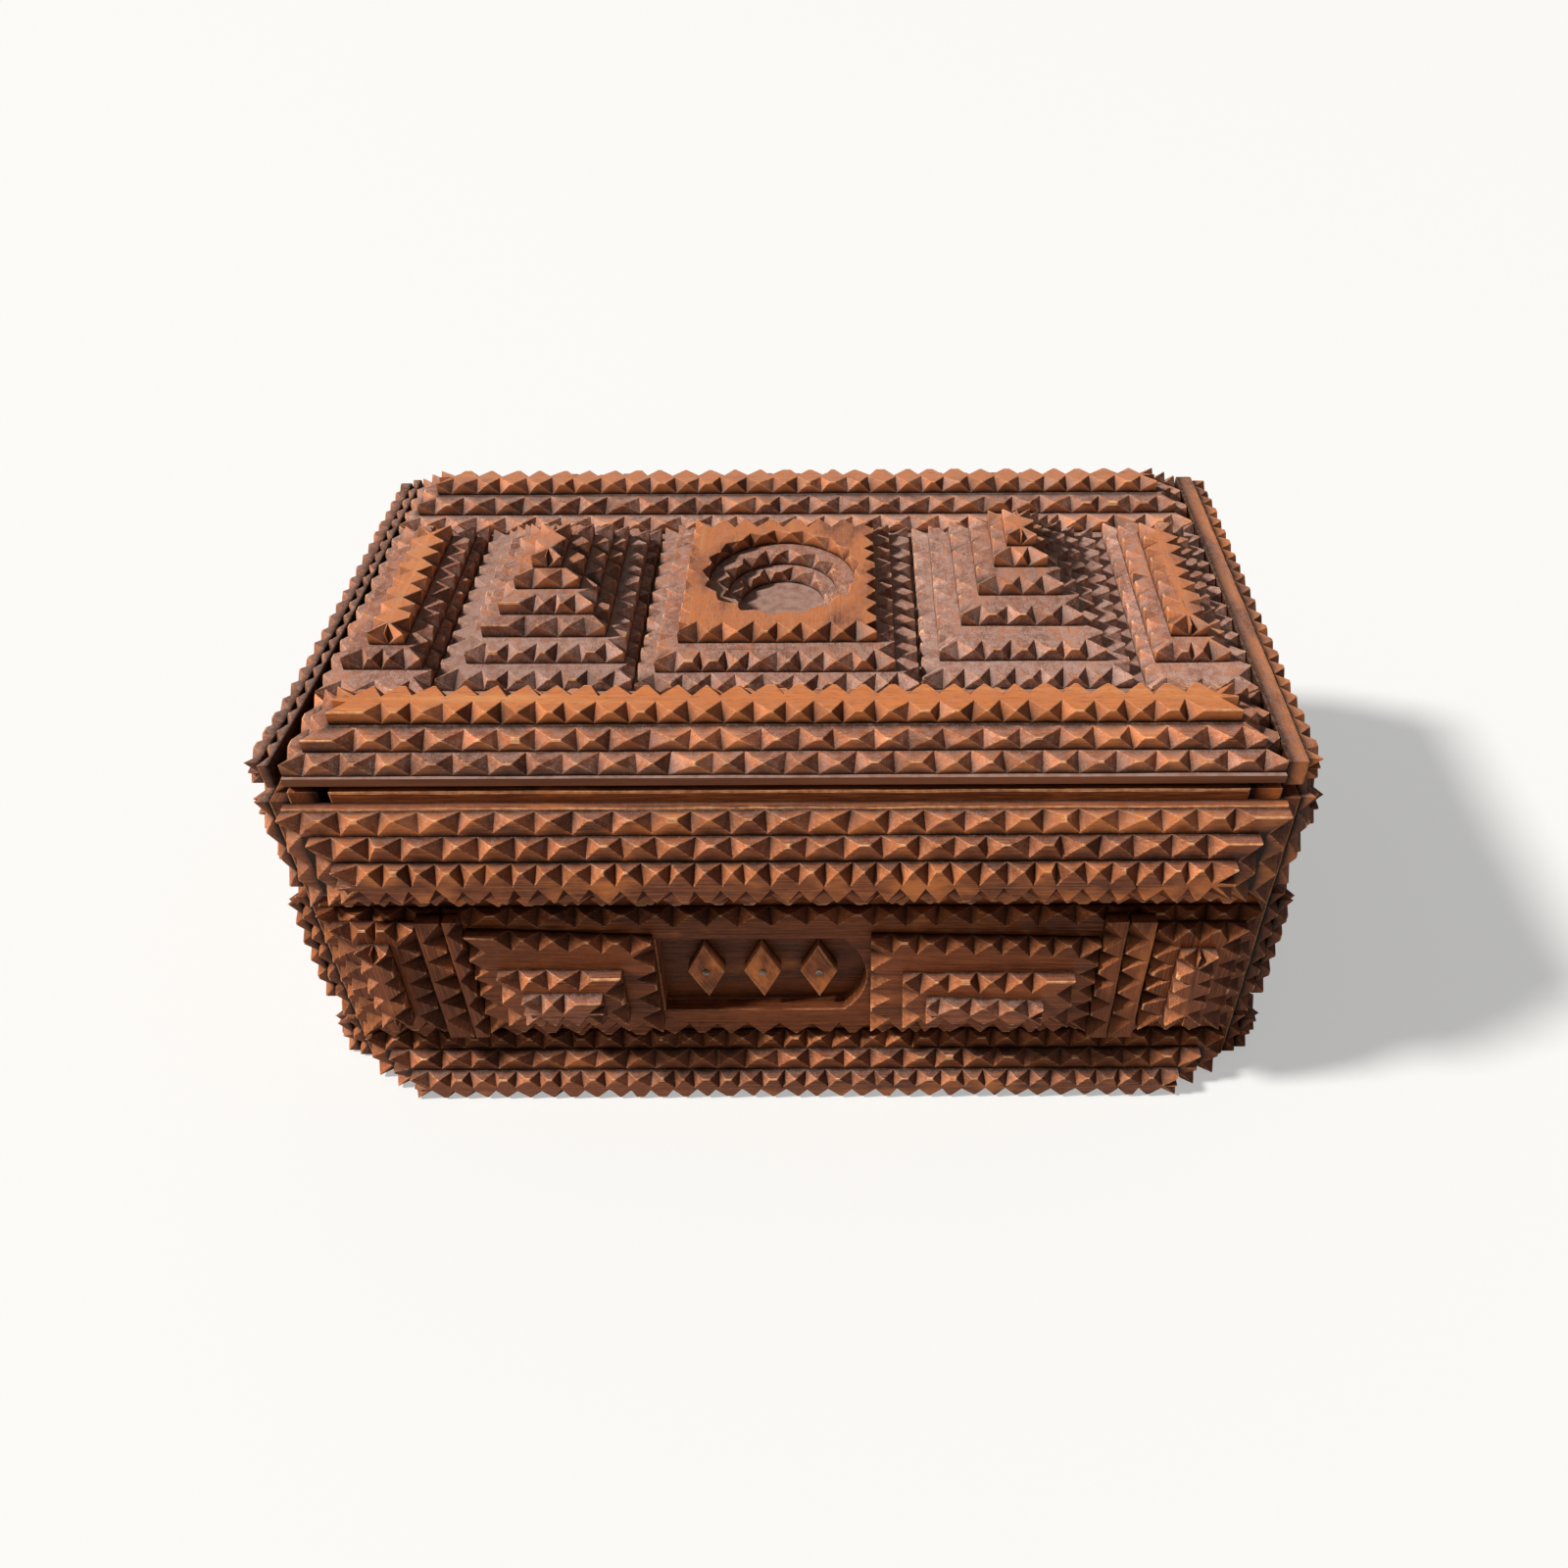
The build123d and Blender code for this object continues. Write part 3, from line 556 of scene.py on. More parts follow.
@dataclass
class Board:
    """One board in its place, with its four outer arrises carved or plain.

    Attributes:
        box: Its lowest and highest corner in millimetres.
        face: The side of the box that it is glued to.
        knife: How its arrises are cut, or None for a plain board.
        look: Its polish, dust and tone.
        seed: The start of its random draws.
        plain_ends: Uncut lengths at the start and finish of an edge.
        plain_edges: Edges with no notches at all.
        runs: Runs of single edges that differ from the knife's own.
        lean: How far its four corners stand off, each as right and up.
        hole: A round hole or a window.
        crowded: How much grime, dust and painted shade gather on the face beside its notches, where
            another layer stands close behind them.
        plain_wear: The least and greatest rounding of an arris without notches.
        unevenness: How far its edges wave in from their true lines.
    """

    box: np.ndarray
    face: Face
    knife: Knife | None
    look: Look
    seed: int
    plain_ends: dict[Edge, tuple[float, float]] = field(default_factory=dict)
    plain_edges: frozenset[Edge] = frozenset()
    runs: dict[Edge, float] = field(default_factory=dict)
    lean: tuple[tuple[float, float], ...] = ((0.0, 0.0),) * 4
    hole: RoundHole | BowedWindow | None = None
    crowded: float = 0.0
    plain_wear: tuple[float, float] = (0.2, 0.5)
    unevenness: float = 0.2

    def __post_init__(self) -> None:
        """Work out the board's extent along its own axes."""
        spans = np.sort(self.box @ self.face.axes.T, axis=0)
        self.low, self.size = spans[0], spans[1] - spans[0]
        self.rng = np.random.default_rng(self.seed)

    def _cut(self, edge: Edge) -> tuple[float, float]:
        """Run of the notches in an edge, and how far from the edge the untouched face begins."""
        plain_margin = self.plain_wear[1] + (STRIP_ROOM if self.plain_edges else PLAIN_ROOM)
        if self.knife is None or edge in self.plain_edges:
            return 0.0, plain_margin
        if self.plain_edges:
            across = self.size[0] if edge in (Edge.LEFT, Edge.RIGHT) else self.size[1]
            room = across - plain_margin
        else:
            room = min(self.size[0], self.size[1]) / 2
        run = min(self.runs.get(edge, self.knife.run), (room - FACE_ROOM) / self.knife.deep)
        return run, min(run * self.knife.deep + VALLEY_ROOM, room - HAIR)

    def _arris(self, edge: Edge, wear: np.ndarray) -> Arris:
        """The strip maker of one edge."""
        run, margin = self._cut(edge)
        before, after = (self._cut(Edge((edge.value + step) % 4))[1] for step in (-1, 1))
        return Arris(
            length=self.size[0] if edge in (Edge.LOW, Edge.HIGH) else self.size[1],
            height=self.size[2],
            knife=self.knife if run else None,
            run=run,
            margin=margin,
            corner_margins=(max(before, margin), max(after, margin)),
            corner_wear=(wear[edge.value], wear[(edge.value + 1) % 4]),
            rng=self.rng,
            crowded=self.crowded,
            bevel=STRIP_BEVEL if edge in self.plain_edges else BEVEL,
            plain=self.plain_ends.get(edge, (0.0, 0.0)),
            plain_wear=self.plain_wear,
        )

    def _edge_places(self, edge: Edge, strip: np.ndarray) -> np.ndarray:
        """Lay a strip along its edge: anticlockwise from the lower left corner, the wood on its left."""
        width, height = self.size[0], self.size[1]
        start = np.array(((0, 0), (width, 0), (width, height), (0, height))[edge.value], float)
        way = np.array(((1, 0), (0, 1), (-1, 0), (0, -1))[edge.value], float)
        inward = np.array([-way[1], way[0]])
        flat = start + strip[..., :1] * way + strip[..., 1:2] * inward
        return np.concatenate([flat, strip[..., 2:]], axis=-1)

    def _to_world(self, local: np.ndarray) -> np.ndarray:
        """Local places to places in the frame, leaning and waving a little like a board cut by hand."""
        shares = local[:, :2] / self.size[:2]
        u, v = shares.T
        weights = np.stack([(1 - u) * (1 - v), u * (1 - v), u * v, (1 - u) * v], axis=1)
        moved = local.copy()
        moved[:, :2] += weights @ np.array(self.lean)
        for axis in range(2):
            other = local[:, 1 - axis]
            first, second = 2 * axis, 2 * axis + 1
            wave = np.sin(other / WAVES[first] + self.phase[first])
            wave = wave * np.sin(other / WAVES[second] + self.phase[second])
            moved[:, axis] += self.unevenness * (1 + wave) / 2 * (1 - 2 * shares[:, axis])
        return (moved + self.low) @ self.face.axes

    def _grain(self, local: np.ndarray) -> np.ndarray:
        """Places along, across and through the grain, which runs the board's long way."""
        order = [0, 1, 2] if self.size[0] >= self.size[1] else [1, 0, 2]
        return local[:, order] + self.grain_offset

    def _add(
        self,
        surface: Surface,
        local: np.ndarray,
        triangles: np.ndarray,
        point_marks: dict[str, np.ndarray],
        face_marks: dict[str, np.ndarray],
    ) -> None:
        """Add one patch with the marks that the whole board shares."""
        count = len(local)
        shared = {
            "grain": self._grain(local),
            "polish": np.full(count, self.look.polish),
            "dust": np.full(count, self.look.dust),
            "board_tone": np.full(count, self.look.tone),
        }
        surface.add(self._to_world(local), triangles, {**point_marks, **shared}, face_marks)

    def _add_flat(
        self,
        surface: Surface,
        loops: list[np.ndarray],
        height: float,
        upward: bool,
        nook: float,
        tone: float = 0.0,
    ) -> None:
        """Add a flat face at a height, facing out of the board or under it."""
        points, triangles = flat_triangles(loops, upward)
        local = np.column_stack([points, np.full(len(points), height)])
        none = np.zeros(len(triangles))
        face_marks = {"facet": none, "ridge": none, "worn": none, "cut_tone": none + tone}
        self._add(surface, local, triangles, {"nook": np.full(len(points), nook)}, face_marks)

    def _window_loops(self, surface: Surface) -> tuple[list[np.ndarray], list[np.ndarray]]:
        """Add the walls of a window and return the outlines that its faces leave open."""
        window = self.hole
        soft = window.soft
        offset = self.low[:2]
        top = self.size[2]
        floor = top - window.depth
        rings = [(soft, top), (0.0, top - soft), (0.0, floor)]
        places = []
        for grow, height in rings:
            loop = window.outline(grow) - offset
            loop = np.vstack([loop, loop[:1]])
            places.append(np.column_stack([loop, np.full(len(loop), height)]))
        grid = np.stack(places, axis=1)
        triangles = grid_triangles(grid.shape[0], grid.shape[1])
        local = grid.reshape(-1, 3)
        point_marks = {"nook": np.tile(window.wall_nooks, grid.shape[0])}
        # The rounded band of the window's arris is a ridge, which gets the worn colour: wear with a
        # painted highlight.
        ridge = np.repeat(np.tile([1.0, 0.0], grid.shape[0] - 1), 2)
        face_marks = {"facet": ridge * 0, "ridge": ridge, "worn": ridge * 0, "cut_tone": ridge * 0}
        self._add(surface, local, triangles, point_marks, face_marks)
        through = floor <= SAME_PLACE
        inner = window.outline(0.0) - offset
        if not through:
            # The floor gets a painted shade, darker than its board's own tone.
            self._add_flat(surface, [inner], floor, True, window.wall_nooks[-1], window.painted_floor_shade)
        return [window.outline(soft) - offset], [inner] if through else []

    def _round_hole_loops(self, surface: Surface) -> tuple[list[np.ndarray], list[np.ndarray]]:
        """Add the notched wall of a round hole and return the outlines that its faces leave open."""
        hole = self.hole
        arris = Arris(
            length=2 * math.pi * hole.radius,
            height=self.size[2],
            knife=self.knife,
            run=hole.run,
            margin=hole.run * self.knife.deep + HOLE_ROOM,
            rng=self.rng,
            closed_count=hole.notches,
        )
        strip, _, point_marks, face_marks = arris.strip()
        closed = np.concatenate([strip, strip[:1] + (arris.length, 0, 0)])
        triangles = grid_triangles(len(closed), COLUMNS)
        places = hole.place(closed)
        places[..., :2] -= self.low[:2]
        point_marks = closed_marks(point_marks, COLUMNS)
        face_marks = closed_marks(face_marks, 2 * (COLUMNS - 1))
        self._add(surface, places.reshape(-1, 3), triangles, point_marks, face_marks)
        return [places[:-1, FACE_LINE, :2]], [places[:-1, UNDER_LINE, :2]]

    def build(self, surface: Surface) -> None:
        """Add the whole board to a surface: four strips, the broad face and the face underneath."""
        self.grain_offset = self.rng.uniform(0, 900, 3)
        self.phase = self.rng.uniform(0, 2 * math.pi, 4)
        wear_range = self.knife.tip_wear if self.knife and not self.plain_edges else self.plain_wear
        wear = self.rng.uniform(*wear_range, 4)
        upper, under = [], []
        for edge in Edge:
            strip, triangles, point_marks, face_marks = self._arris(edge, wear).strip()
            places = self._edge_places(edge, strip)
            self._add(surface, places.reshape(-1, 3), triangles, point_marks, face_marks)
            upper.append(places[:-1, FACE_LINE, :2])
            under.append(places[:-1, UNDER_LINE, :2])
        over, below = [], []
        if isinstance(self.hole, RoundHole):
            over, below = self._round_hole_loops(surface)
        elif isinstance(self.hole, BowedWindow):
            over, below = self._window_loops(surface)
        self._add_flat(surface, [np.vstack(upper)] + over, self.size[2], True, 0.0)
        self._add_flat(surface, [np.vstack(under)] + below, 0.0, False, UNDER_NOOK)


def solids_of(node: bpy.types.Object) -> list[np.ndarray]:
    """Find the separate solids of a frame node.

    Points at one place get one number. Every triangle pulls its three numbers down to the lowest of
    them until nothing changes, and what shares a number then is one solid.

    Args:
        node: The frame's object.

    Returns:
        The lowest and highest corner of each solid in millimetres, in order of their middles.
    """
    mesh = node.data
    points = np.empty(len(mesh.vertices) * 3, np.float32)
    mesh.vertices.foreach_get("co", points)
    mesh.calc_loop_triangles()
    corners = np.empty(len(mesh.loop_triangles) * 3, np.int32)
    mesh.loop_triangles.foreach_get("vertices", corners)
    places, number = np.unique(points.reshape(-1, 3).round(6), axis=0, return_inverse=True)
    corners = number.reshape(-1)[corners.reshape(-1, 3)]
    group = np.arange(len(places))
    settled = False
    while not settled:
        lowest = group[corners].min(axis=1)
        pulled = group.copy()
        np.minimum.at(pulled, corners.ravel(), np.repeat(lowest, 3))
        pulled = pulled[pulled]
        settled = bool((pulled == group).all())
        group = pulled
    boxes = []
    for mark in np.unique(group):
        members = places[group == mark].astype(float) / MM
        boxes.append(np.array([members.min(axis=0), members.max(axis=0)]))
    return sorted(boxes, key=lambda box: tuple(box.mean(axis=0).round(1)))


class Wire:
    """A shader socket that can be used in Python expressions."""

    def __init__(self, graph: "Graph", socket: bpy.types.NodeSocket) -> None:
        """Keep the socket and the graph that it belongs to."""
        self.graph = graph
        self.socket = socket

    def _math(self, operation: str, *values: "Wire | float") -> "Wire":
        """One Math node over this wire and other values."""
        inputs = dict(enumerate(values))
        return self.graph.node("ShaderNodeMath", {"operation": operation}, inputs)

    def __add__(self, other: "Wire | float") -> "Wire":
        """Sum."""
        return self._math("ADD", self, other)

    def __radd__(self, other: float) -> "Wire":
        """Sum with a number on the left."""
        return self._math("ADD", other, self)

    def __sub__(self, other: "Wire | float") -> "Wire":
        """Difference."""
        return self._math("SUBTRACT", self, other)

    def __rsub__(self, other: float) -> "Wire":
        """Difference from a number on the left."""
        return self._math("SUBTRACT", other, self)

    def __mul__(self, other: "Wire | float") -> "Wire":
        """Product."""
        return self._math("MULTIPLY", self, other)

    def __rmul__(self, other: float) -> "Wire":
        """Product with a number on the left."""
        return self._math("MULTIPLY", other, self)

    def __pow__(self, other: float) -> "Wire":
        """Power."""
        return self._math("POWER", self, other)

    def clamp(self) -> "Wire":
        """The value kept between 0 and 1."""
        return self.graph.node("ShaderNodeClamp", {}, {"Value": self})

    def ramp(self, low: float, high: float) -> "Wire":
        """A smooth step from 0 at low to 1 at high."""
        inputs = {"Value": self, "From Min": low, "From Max": high}
        return self.graph.node("ShaderNodeMapRange", {"interpolation_type": "SMOOTHSTEP"}, inputs)


class Graph:
    """A material's nodes, with one method that makes any node."""

    def __init__(self, name: str) -> None:
        """Start a material with nothing but its surface shader."""
        self.material = bpy.data.materials.new(name)
        self.material.use_nodes = True
        self.tree = self.material.node_tree
        self.shader = next(node for node in self.tree.nodes if node.type == "BSDF_PRINCIPLED")

    def node(self, kind: str, settings: dict, inputs: dict, output: int | str = 0) -> Wire:
        """Make one node.

        Args:
            kind: The node's type.
            settings: Its properties, which are set first.
            inputs: Values or wires by socket name or number.
            output: The socket to return.

        Returns:
            The wire of the chosen output.
        """
        made = self.tree.nodes.new(kind)
        for name, value in settings.items():
            setattr(made, name, value)
        for name, value in inputs.items():
            self.feed(made.inputs[name], value)
        return Wire(self, made.outputs[output])

    def feed(self, socket: bpy.types.NodeSocket, value: object) -> None:
        """Link a wire to a socket, or set the socket's own value."""
        if isinstance(value, Wire):
            self.tree.links.new(value.socket, socket)
        else:
            socket.default_value = value

    def mark(self, name: str, output: str = "Fac") -> Wire:
        """A value that the mesh carries under a name."""
        return self.node("ShaderNodeAttribute", {"attribute_name": name}, {}, output)

    def stretch(self, place: Wire, scale: tuple[float, float, float]) -> Wire:
        """A place with its three numbers scaled apart."""
        return self.node("ShaderNodeVectorMath", {"operation": "MULTIPLY"}, {0: place, 1: scale})

    def noise(self, place: Wire, scale: float, detail: float = 3.0, roughness: float = 0.55) -> Wire:
        """Noise at a place."""
        inputs = {"Vector": place, "Scale": scale, "Detail": detail, "Roughness": roughness}
        return self.node("ShaderNodeTexNoise", {}, inputs)

    def mix(self, share: "Wire | float", first: object, second: object) -> Wire:
        """A colour between two colours."""
        node = self.tree.nodes.new("ShaderNodeMix")
        node.data_type = "RGBA"
        colours = [socket for socket in node.inputs if socket.type == "RGBA"]
        self.feed(node.inputs["Factor"], share)
        self.feed(colours[0], first)
        self.feed(colours[1], second)
        return Wire(self, next(socket for socket in node.outputs if socket.type == "RGBA"))

    def shade(self, colour: Wire, factor: Wire) -> Wire:
        """A colour made lighter or darker."""
        return self.node("ShaderNodeVectorMath", {"operation": "SCALE"}, {0: colour, "Scale": factor})

    def facing(self, axis: str) -> Wire:
        """One number of the direction in which the surface faces, on the piece's own X, Y or Z."""
        normal = self.node("ShaderNodeTexCoord", {}, {}, "Normal")
        return self.node("ShaderNodeSeparateXYZ", {}, {"Vector": normal}, axis)

    def bump(self, relief: Wire, strength: float, depth: float) -> Wire:
        """The surface's direction, ruffled by a relief of a depth in metres."""
        inputs = {"Height": relief, "Strength": strength, "Distance": depth}
        return self.node("ShaderNodeBump", {}, inputs, "Normal")

    def finish(self, values: dict) -> bpy.types.Material:
        """Feed the surface shader and return the material."""
        for name, value in values.items():
            self.feed(self.shader.inputs[name], value)
        return self.material


@dataclass(frozen=True)
class Grain:
    """Noises that follow a board's own grain."""

    bands: Wire
    fibre: Wire
    pores: Wire
    patches: Wire
    specks: Wire
    clumps: Wire

    @classmethod
    def drawn(cls, g: Graph) -> "Grain":
        """Draw them over the places along, across and through the grain, which are in millimetres.

        Args:
            g: The material's nodes.

        Returns:
            The noises, each from its tightness along, across and through, its detail and its roughness.
        """
        place = g.mark("grain", "Vector")
        drawn = {
            "bands": ((0.012, 0.20, 0.20), 4.0, 0.55),
            "fibre": ((0.08, 2.2, 2.2), 4.0, 0.65),
            "pores": ((0.35, 7.0, 7.0), 2.0, 0.55),
            "patches": ((0.05, 0.09, 0.09), 3.0, 0.55),
            "specks": ((2.6, 2.6, 2.6), 4.0, 0.8),
            "clumps": ((0.55, 0.55, 0.55), 3.0, 0.55),
        }
        noises = {}
        for name, (tightness, detail, roughness) in drawn.items():
            noises[name] = g.noise(g.stretch(place, tightness), 1.0, detail, roughness)
        return cls(**noises)


@dataclass(frozen=True)
class Marks:
    """The values that a board's mesh carries for its finish, each between 0 and about 1."""

    polish: Wire
    dust: Wire
    nook: Wire
    facet: Wire
    ridge: Wire
    worn: Wire

    @classmethod
    def read(cls, g: Graph) -> "Marks":
        """Read them by their own names."""
        return cls(*(g.mark(item.name) for item in fields(cls)))


@dataclass(frozen=True)
class CarvedCedar:
    """Varnished cedar that was cut with a knife: glossy faces with a painted sheen, dusty matt facets and
    bright worn tips with painted highlights.

    Its colour also depends on the way a facet faces: one that faces left gets painted light, and one that
    faces right or down gets painted shade. That follows the contrast of the photograph and is no property
    of the wood.
    """

    name: str = "carved_cedar"
    deep: tuple = (0.080, 0.018, 0.006, 1)
    middle: tuple = (0.270, 0.066, 0.020, 1)
    light: tuple = (0.540, 0.165, 0.044, 1)
    bare: tuple = (0.760, 0.225, 0.052, 1)
    pale: tuple = (0.860, 0.370, 0.120, 1)
    # worn is the colour of rubbed tips and ridges: wear, with a painted highlight.
    worn: tuple = (0.880, 0.450, 0.210, 1)
    dust: tuple = (0.440, 0.265, 0.210, 1)
    speck: tuple = (0.680, 0.520, 0.480, 1)
    # grime is the near-black of the nooks, standing for grime and for painted shade.
    grime: tuple = (0.010, 0.005, 0.003, 1)
    tone_depth: float = 0.2
    relief_depth: float = 0.00022

    def _varnished(self, g: Graph, grain: Grain, marks: Marks) -> Wire:
        """The wood itself: dark bands with lighter fibres, and a painted sheen of lighter orange where the
        varnish is polished.
        """
        wood = g.mix(grain.bands.ramp(0.30, 0.66), self.deep, self.middle)
        wood = g.mix(grain.fibre.ramp(0.40, 0.70) * 0.6, wood, self.light)
        orange = g.mix(grain.fibre.ramp(0.3, 0.7) * 0.6 + 0.35, self.light, self.bare)
        orange = g.mix(grain.bands.ramp(0.55, 0.75) * 0.6, orange, self.pale)
        # Painted sheen: polished boards and patches are mixed towards a lighter orange.
        painted_sheen = (marks.polish * 1.3 + (grain.patches - 0.5) * 2.2).ramp(0.48, 1.0)
        wood = g.mix(painted_sheen * (1 - marks.facet * 0.4), wood, orange)
        return g.mix(grain.pores.ramp(0.58, 0.70) * 0.6, wood, self.deep)

    def _painted_left_light(self, g: Graph, grain: Grain, marks: Marks, wood: Wire) -> Wire:
        """The wood with painted light on its left-facing facets, more in some clumps than in others."""
        # Painted light: facets that face left are mixed towards a lighter colour by their direction alone.
        painted_facing_share = (1 - g.facing("X").ramp(-0.6, -0.1)) * marks.facet
        painted_lit_colour = g.mix(grain.fibre.ramp(0.4, 0.7), self.light, self.bare)
        return g.mix(painted_facing_share * (0.3 + grain.clumps.ramp(0.4, 0.65) * 0.35), wood, painted_lit_colour)

    def _dustiness(self, g: Graph, grain: Grain, marks: Marks) -> Wire:
        """The share of dust: most on what faces up and in the nooks, in clumps of specks."""
        up = g.facing("Z").ramp(-0.2, 0.9)
        held = (1 - marks.facet) * 0.6 + marks.nook * 0.8 + marks.facet * 0.42
        settled = marks.dust * 2.0 * ((0.3 + up * 0.7) * held)
        settled = settled * (0.42 + grain.clumps.ramp(0.35, 0.7) * 0.7)
        return (settled * (0.5 + grain.specks.ramp(0.4, 0.6) * 0.7)).clamp()

    def _used_and_painted_light(self, g: Graph, grain: Grain, marks: Marks, wood: Wire, dusty: Wire) -> Wire:
        """The wood with its dust, its rubbed tips and ridges with painted highlights, its nooks darkened
        by grime and painted shade, and painted shade on facets that face right or down.

        Args:
            g: The material's nodes.
            grain: The noises.
            marks: The values on the mesh.
            wood: The colour so far.
            dusty: The share of dust.

        Returns:
            The colour with all of them.
        """
        wood = g.mix(dusty, wood, g.mix(grain.specks.ramp(0.45, 0.7) * 0.45, self.dust, self.speck))
        # Tips and ridges are mixed towards the worn colour: rubbing wear, and a painted highlight along
        # the ridges and at the tips.
        wear_and_painted_highlight = (marks.worn * 0.9 + marks.ridge * 0.42 * grain.fibre.ramp(0.38, 0.6)).clamp()
        wood = g.mix(wear_and_painted_highlight * (0.4 + grain.clumps.ramp(0.35, 0.65) * 0.6), wood, self.worn)
        # Nooks are darkened towards the grime colour: grime, and painted shade in the valleys and where
        # layers meet.
        grime_and_painted_shade = (marks.nook ** 1.9 * (0.95 + 0.6 * grain.clumps)).clamp()
        wood = g.mix(grime_and_painted_shade * (1 - dusty * 0.3), wood, self.grime)
        # Painted shade: facets that face down or right are mixed towards the deep colour by their
        # direction alone.
        painted_facing_share = (1 - g.facing("Z").ramp(-0.6, 0.1)) * 0.6 + g.facing("X").ramp(0.15, 0.6) * 0.5
        return g.mix(painted_facing_share.clamp() * marks.facet * (1 - dusty * 0.6), wood, self.deep)

    def make(self) -> bpy.types.Material:
        """Build the material from the values that the boards carry."""
        g = Graph(self.name)
        grain, marks = Grain.drawn(g), Marks.read(g)
        tone = g.mark("board_tone") + g.mark("cut_tone") * self.tone_depth
        wood = self._painted_left_light(g, grain, marks, self._varnished(g, grain, marks))
        dusty = self._dustiness(g, grain, marks)
        wood = self._used_and_painted_light(g, grain, marks, wood, dusty)

        rough = 0.40 + marks.facet * 0.16 + dusty * 0.35 + (grain.fibre - 0.5) * 0.25 - marks.polish * 0.08
        coat = (1 - dusty) * (0.03 + marks.polish * 0.16) * (1 - marks.facet * 0.5) + marks.worn * 0.1
        grit = grain.specks * (0.3 + dusty * 1.2 + marks.facet * 0.5)
        relief = grain.fibre * 0.5 + grain.pores.ramp(0.58, 0.75) * -0.8 + grit + grain.bands * 0.4
        return g.finish(
            {
                "Base Color": g.shade(wood, 1 + tone),
                "Roughness": rough.clamp(),
                "Specular IOR Level": 0.1,
                "Coat Weight": coat.clamp(),
                "Coat Roughness": 0.28,
                "Normal": g.bump(relief, 0.55, self.relief_depth),
            }
        )


@dataclass(frozen=True)
class PlainCedar:
    """Sawn cedar with little or no varnish, as inside the box and on its plain boards."""

    name: str
    dark: tuple
    light: tuple
    stain: tuple
    roughness: float
    coat: float
    grime: float
    dusting: float = 0.0
    dust: tuple = (0.360, 0.215, 0.170, 1)
    speck: tuple = (0.560, 0.400, 0.350, 1)
    relief_depth: float = 0.0002

    def make(self) -> bpy.types.Material:
        """Build the material on the object's own coordinates in metres, with the grain along X."""
        g = Graph(self.name)
        place = g.node("ShaderNodeTexCoord", {}, {}, "Object")
        bands = g.noise(g.stretch(place, (9.0, 190.0, 190.0)), 1.0, 4.0)
        fibre = g.noise(g.stretch(place, (70.0, 2100.0, 2100.0)), 1.0, 4.0, 0.65)
        pores = g.noise(g.stretch(place, (300.0, 6000.0, 6000.0)), 1.0, 2.0)
        stains = g.noise(place, 28.0, 4.0)
        wood = g.mix(bands.ramp(0.3, 0.7), self.dark, self.light)
        wood = g.mix(fibre.ramp(0.4, 0.75) * 0.45, wood, self.light)
        wood = g.mix(pores.ramp(0.6, 0.72) * 0.5, wood, self.dark)
        wood = g.mix(stains.ramp(0.52, 0.8) * self.grime, wood, self.stain)
        if self.dusting:
            specks = g.noise(place, 4200.0, 3.0, 0.7)
            clumps = g.noise(place, 420.0, 3.0)
            settled = g.facing("Z").ramp(0.3, 0.9) * self.dusting * (0.5 + clumps.ramp(0.3, 0.65) * 0.5)
            wood = g.mix(settled, wood, g.mix(specks.ramp(0.4, 0.7) * 0.6, self.dust, self.speck))
        relief = fibre * 0.6 + pores.ramp(0.58, 0.75) * -0.8
        return g.finish(
            {
                "Base Color": wood,
                "Roughness": (self.roughness + (fibre - 0.5) * 0.2).clamp(),
                "Specular IOR Level": 0.25,
                "Coat Weight": self.coat,
                "Coat Roughness": 0.3,
                "Normal": g.bump(relief, 0.4, self.relief_depth),
            }
        )


@dataclass(frozen=True)
class Metal:
    """Old metal: a base colour broken by tarnish, and scratches that catch the light."""

    name: str
    bright: tuple
    tarnish: tuple
    roughness: float
    relief_depth: float = 0.0001

    def make(self) -> bpy.types.Material:
        """Build the material."""
        g = Graph(self.name)
        place = g.node("ShaderNodeTexCoord", {}, {}, "Object")
        blotches = g.noise(place, 420.0, 5.0, 0.65)
        scratches = g.noise(g.stretch(place, (350.0, 5200.0, 5200.0)), 1.0, 2.0)
        share = blotches.ramp(0.42, 0.68)
        return g.finish(
            {
                "Base Color": g.mix(share, self.bright, self.tarnish),
                "Metallic": 1 - share * 0.35,
                "Roughness": (self.roughness + share * 0.3 + scratches * 0.12).clamp(),
                "Normal": g.bump(scratches + blotches * 0.5, 0.25, self.relief_depth),
            }
        )


